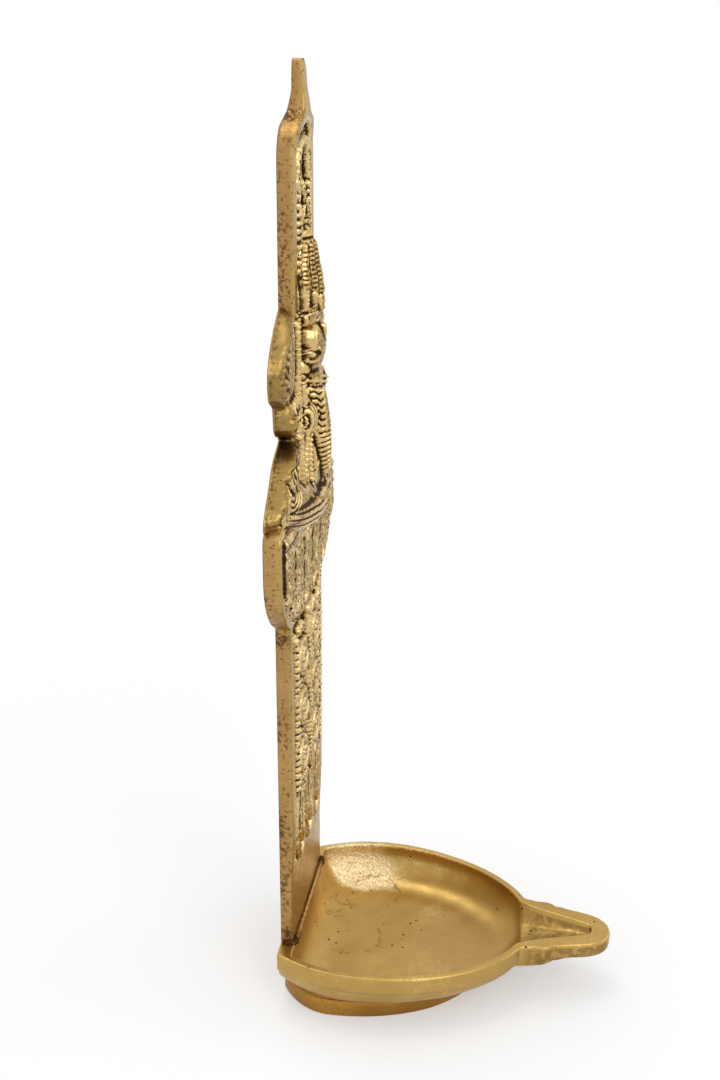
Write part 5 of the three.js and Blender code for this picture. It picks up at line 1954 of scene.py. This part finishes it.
@dataclass(frozen=True)
class SoftBox:
    """A square studio lamp, with its places and its side in metres and its power in watts."""

    name: str
    place: Point3
    target: Point3
    size: float
    power: float

    def build(self) -> None:
        """Places the lamp."""
        lamp = bpy.data.lights.new(self.name, "AREA")
        lamp.shape, lamp.size, lamp.energy = "SQUARE", self.size, self.power
        piece = linked(self.name, lamp)
        piece.location = self.place
        facing = Vector(self.target) - Vector(self.place)
        piece.rotation_euler = facing.to_track_quat("-Z", "Y").to_euler()


@dataclass
class Studio:
    """The pale floor, the soft lamps, the white surroundings and the camera.

    Lengths are in metres and angles in degrees.
    """

    target: Point3 = (0.0, WALL_Y - 0.02258, 0.16394)
    distance: float = 0.479
    azimuth: float = 9.027
    elevation: float = 22.538
    roll: float = 0.436
    focal_pixels: float = 1483.5
    photo_height: int = 1080
    sensor: float = 36.0
    lamps: tuple[SoftBox, ...] = (
        SoftBox("key_lamp", (-0.75, -0.55, 0.85), (0, 0.0, 0.12), 0.7, 3.0),
        SoftBox("top_lamp", (0.1, 0.25, 1.05), (0, 0.0, 0.1), 0.6, 2.2),
        SoftBox("front_lamp", (0.35, -1.0, 0.45), (0, 0.0, 0.12), 0.6, 1.4),
    )

    def build(self) -> None:
        """Makes everything round the lamp."""
        self._camera()
        self._floor()
        self._world()
        for lamp in self.lamps:
            lamp.build()
        bpy.context.scene.view_settings.view_transform = "Standard"

    def _camera(self) -> None:
        """Stands the camera where the photograph was taken."""
        azimuth, elevation = math.radians(self.azimuth), math.radians(self.elevation)
        level = math.cos(elevation)
        back = Vector((-math.cos(azimuth) * level, -math.sin(azimuth) * level, math.sin(elevation)))
        right = Vector((0, 0, 1)).cross(back).normalized()
        up = back.cross(right)
        turn = math.radians(self.roll)
        tilted_right = math.cos(turn) * right + math.sin(turn) * up
        tilted_up = -math.sin(turn) * right + math.cos(turn) * up
        place = Vector(self.target) + self.distance * back
        data = bpy.data.cameras.new("photo_camera")
        data.sensor_fit = "VERTICAL"
        data.sensor_height = self.sensor
        data.lens = self.focal_pixels / self.photo_height * self.sensor
        data.clip_start = 0.01
        camera = linked("photo_camera", data)
        turned = Matrix((tilted_right, tilted_up, back)).transposed().to_4x4()
        camera.matrix_world = Matrix.Translation(place) @ turned
        bpy.context.scene.camera = camera

    def _floor(self) -> None:
        """Lays a pale floor that keeps the shadow near the lamp and is white further out."""
        span = 12.0
        corners = np.array([(-span, -span, 0), (span, -span, 0), (span, span, 0), (-span, span, 0)])
        floor = new_mesh("studio_floor", corners, [(0, 1, 2, 3)])
        material = bpy.data.materials.new("pale_floor")
        material.use_nodes = True
        sheet = NodeSheet(material.node_tree)
        sheet.tree.nodes.clear()
        place = sheet.place(stretch=(1, 1, 0), shift=(0.0, 0.02, 0.0))
        reach = sheet.add("ShaderNodeVectorMath", {0: place}, operation="LENGTH").outputs["Value"]
        share = sheet.step(reach, 0.05, 0.36, 0.35, 1.0)
        lit = sheet.add("ShaderNodeBsdfDiffuse", {"Color": rgba((0.93, 0.93, 0.93))})
        white = sheet.add("ShaderNodeEmission", {"Color": rgba((1, 1, 1)), "Strength": 1.0})
        shown = sheet.times(share, self._seen(sheet))
        mixed = sheet.add("ShaderNodeMixShader", {0: shown, 1: lit.outputs[0], 2: white.outputs[0]})
        sheet.add("ShaderNodeOutputMaterial", {"Surface": mixed.outputs[0]})
        floor.data.materials.append(material)

    def _world(self) -> None:
        """White to the camera and in reflections, and a soft grey room to the floor."""
        world = bpy.data.worlds.new("studio_air")
        world.use_nodes = True
        sheet = NodeSheet(world.node_tree)
        sheet.tree.nodes.clear()
        colour = sheet.blend(self._seen(sheet), rgba((0.80, 0.80, 0.80)), rgba((1, 1, 1)))
        air = sheet.add("ShaderNodeBackground", {"Color": colour, "Strength": 1.0})
        sheet.add("ShaderNodeOutputWorld", {"Surface": air.outputs[0]})
        bpy.context.scene.world = world

    @staticmethod
    def _seen(sheet: NodeSheet) -> Socket:
        """One for rays from the camera and for those that glossy and clear surfaces send on."""
        rays = sheet.add("ShaderNodeLightPath").outputs
        mirrored_rays = sheet.larger(rays["Is Glossy Ray"], rays["Is Transmission Ray"])
        return sheet.larger(rays["Is Camera Ray"], mirrored_rays)


def main() -> None:
    """Builds the studio and then each part of the lamp."""
    logging.basicConfig(level=logging.INFO, format="%(message)s")
    groups = FinishGroups()
    all_finishes = (CARVED, FIGURE_BRASS, EDGE_BRASS, BOWL_BRASS, SHADED_FOOT_BRASS, BRAZE_BRASS, PEARL_BRASS)
    finishes = {finish.name: finish.build(groups) for finish in all_finishes}
    beads = StringOfBeads()
    Studio().build()
    plate = WallPlate()
    plate.build(finishes, beads)
    SeatedFigure(plate).build(finishes, beads)
    OilBowl().build(finishes)
    BrazeSeam().build(finishes)


if __name__ == "__main__":
    main()
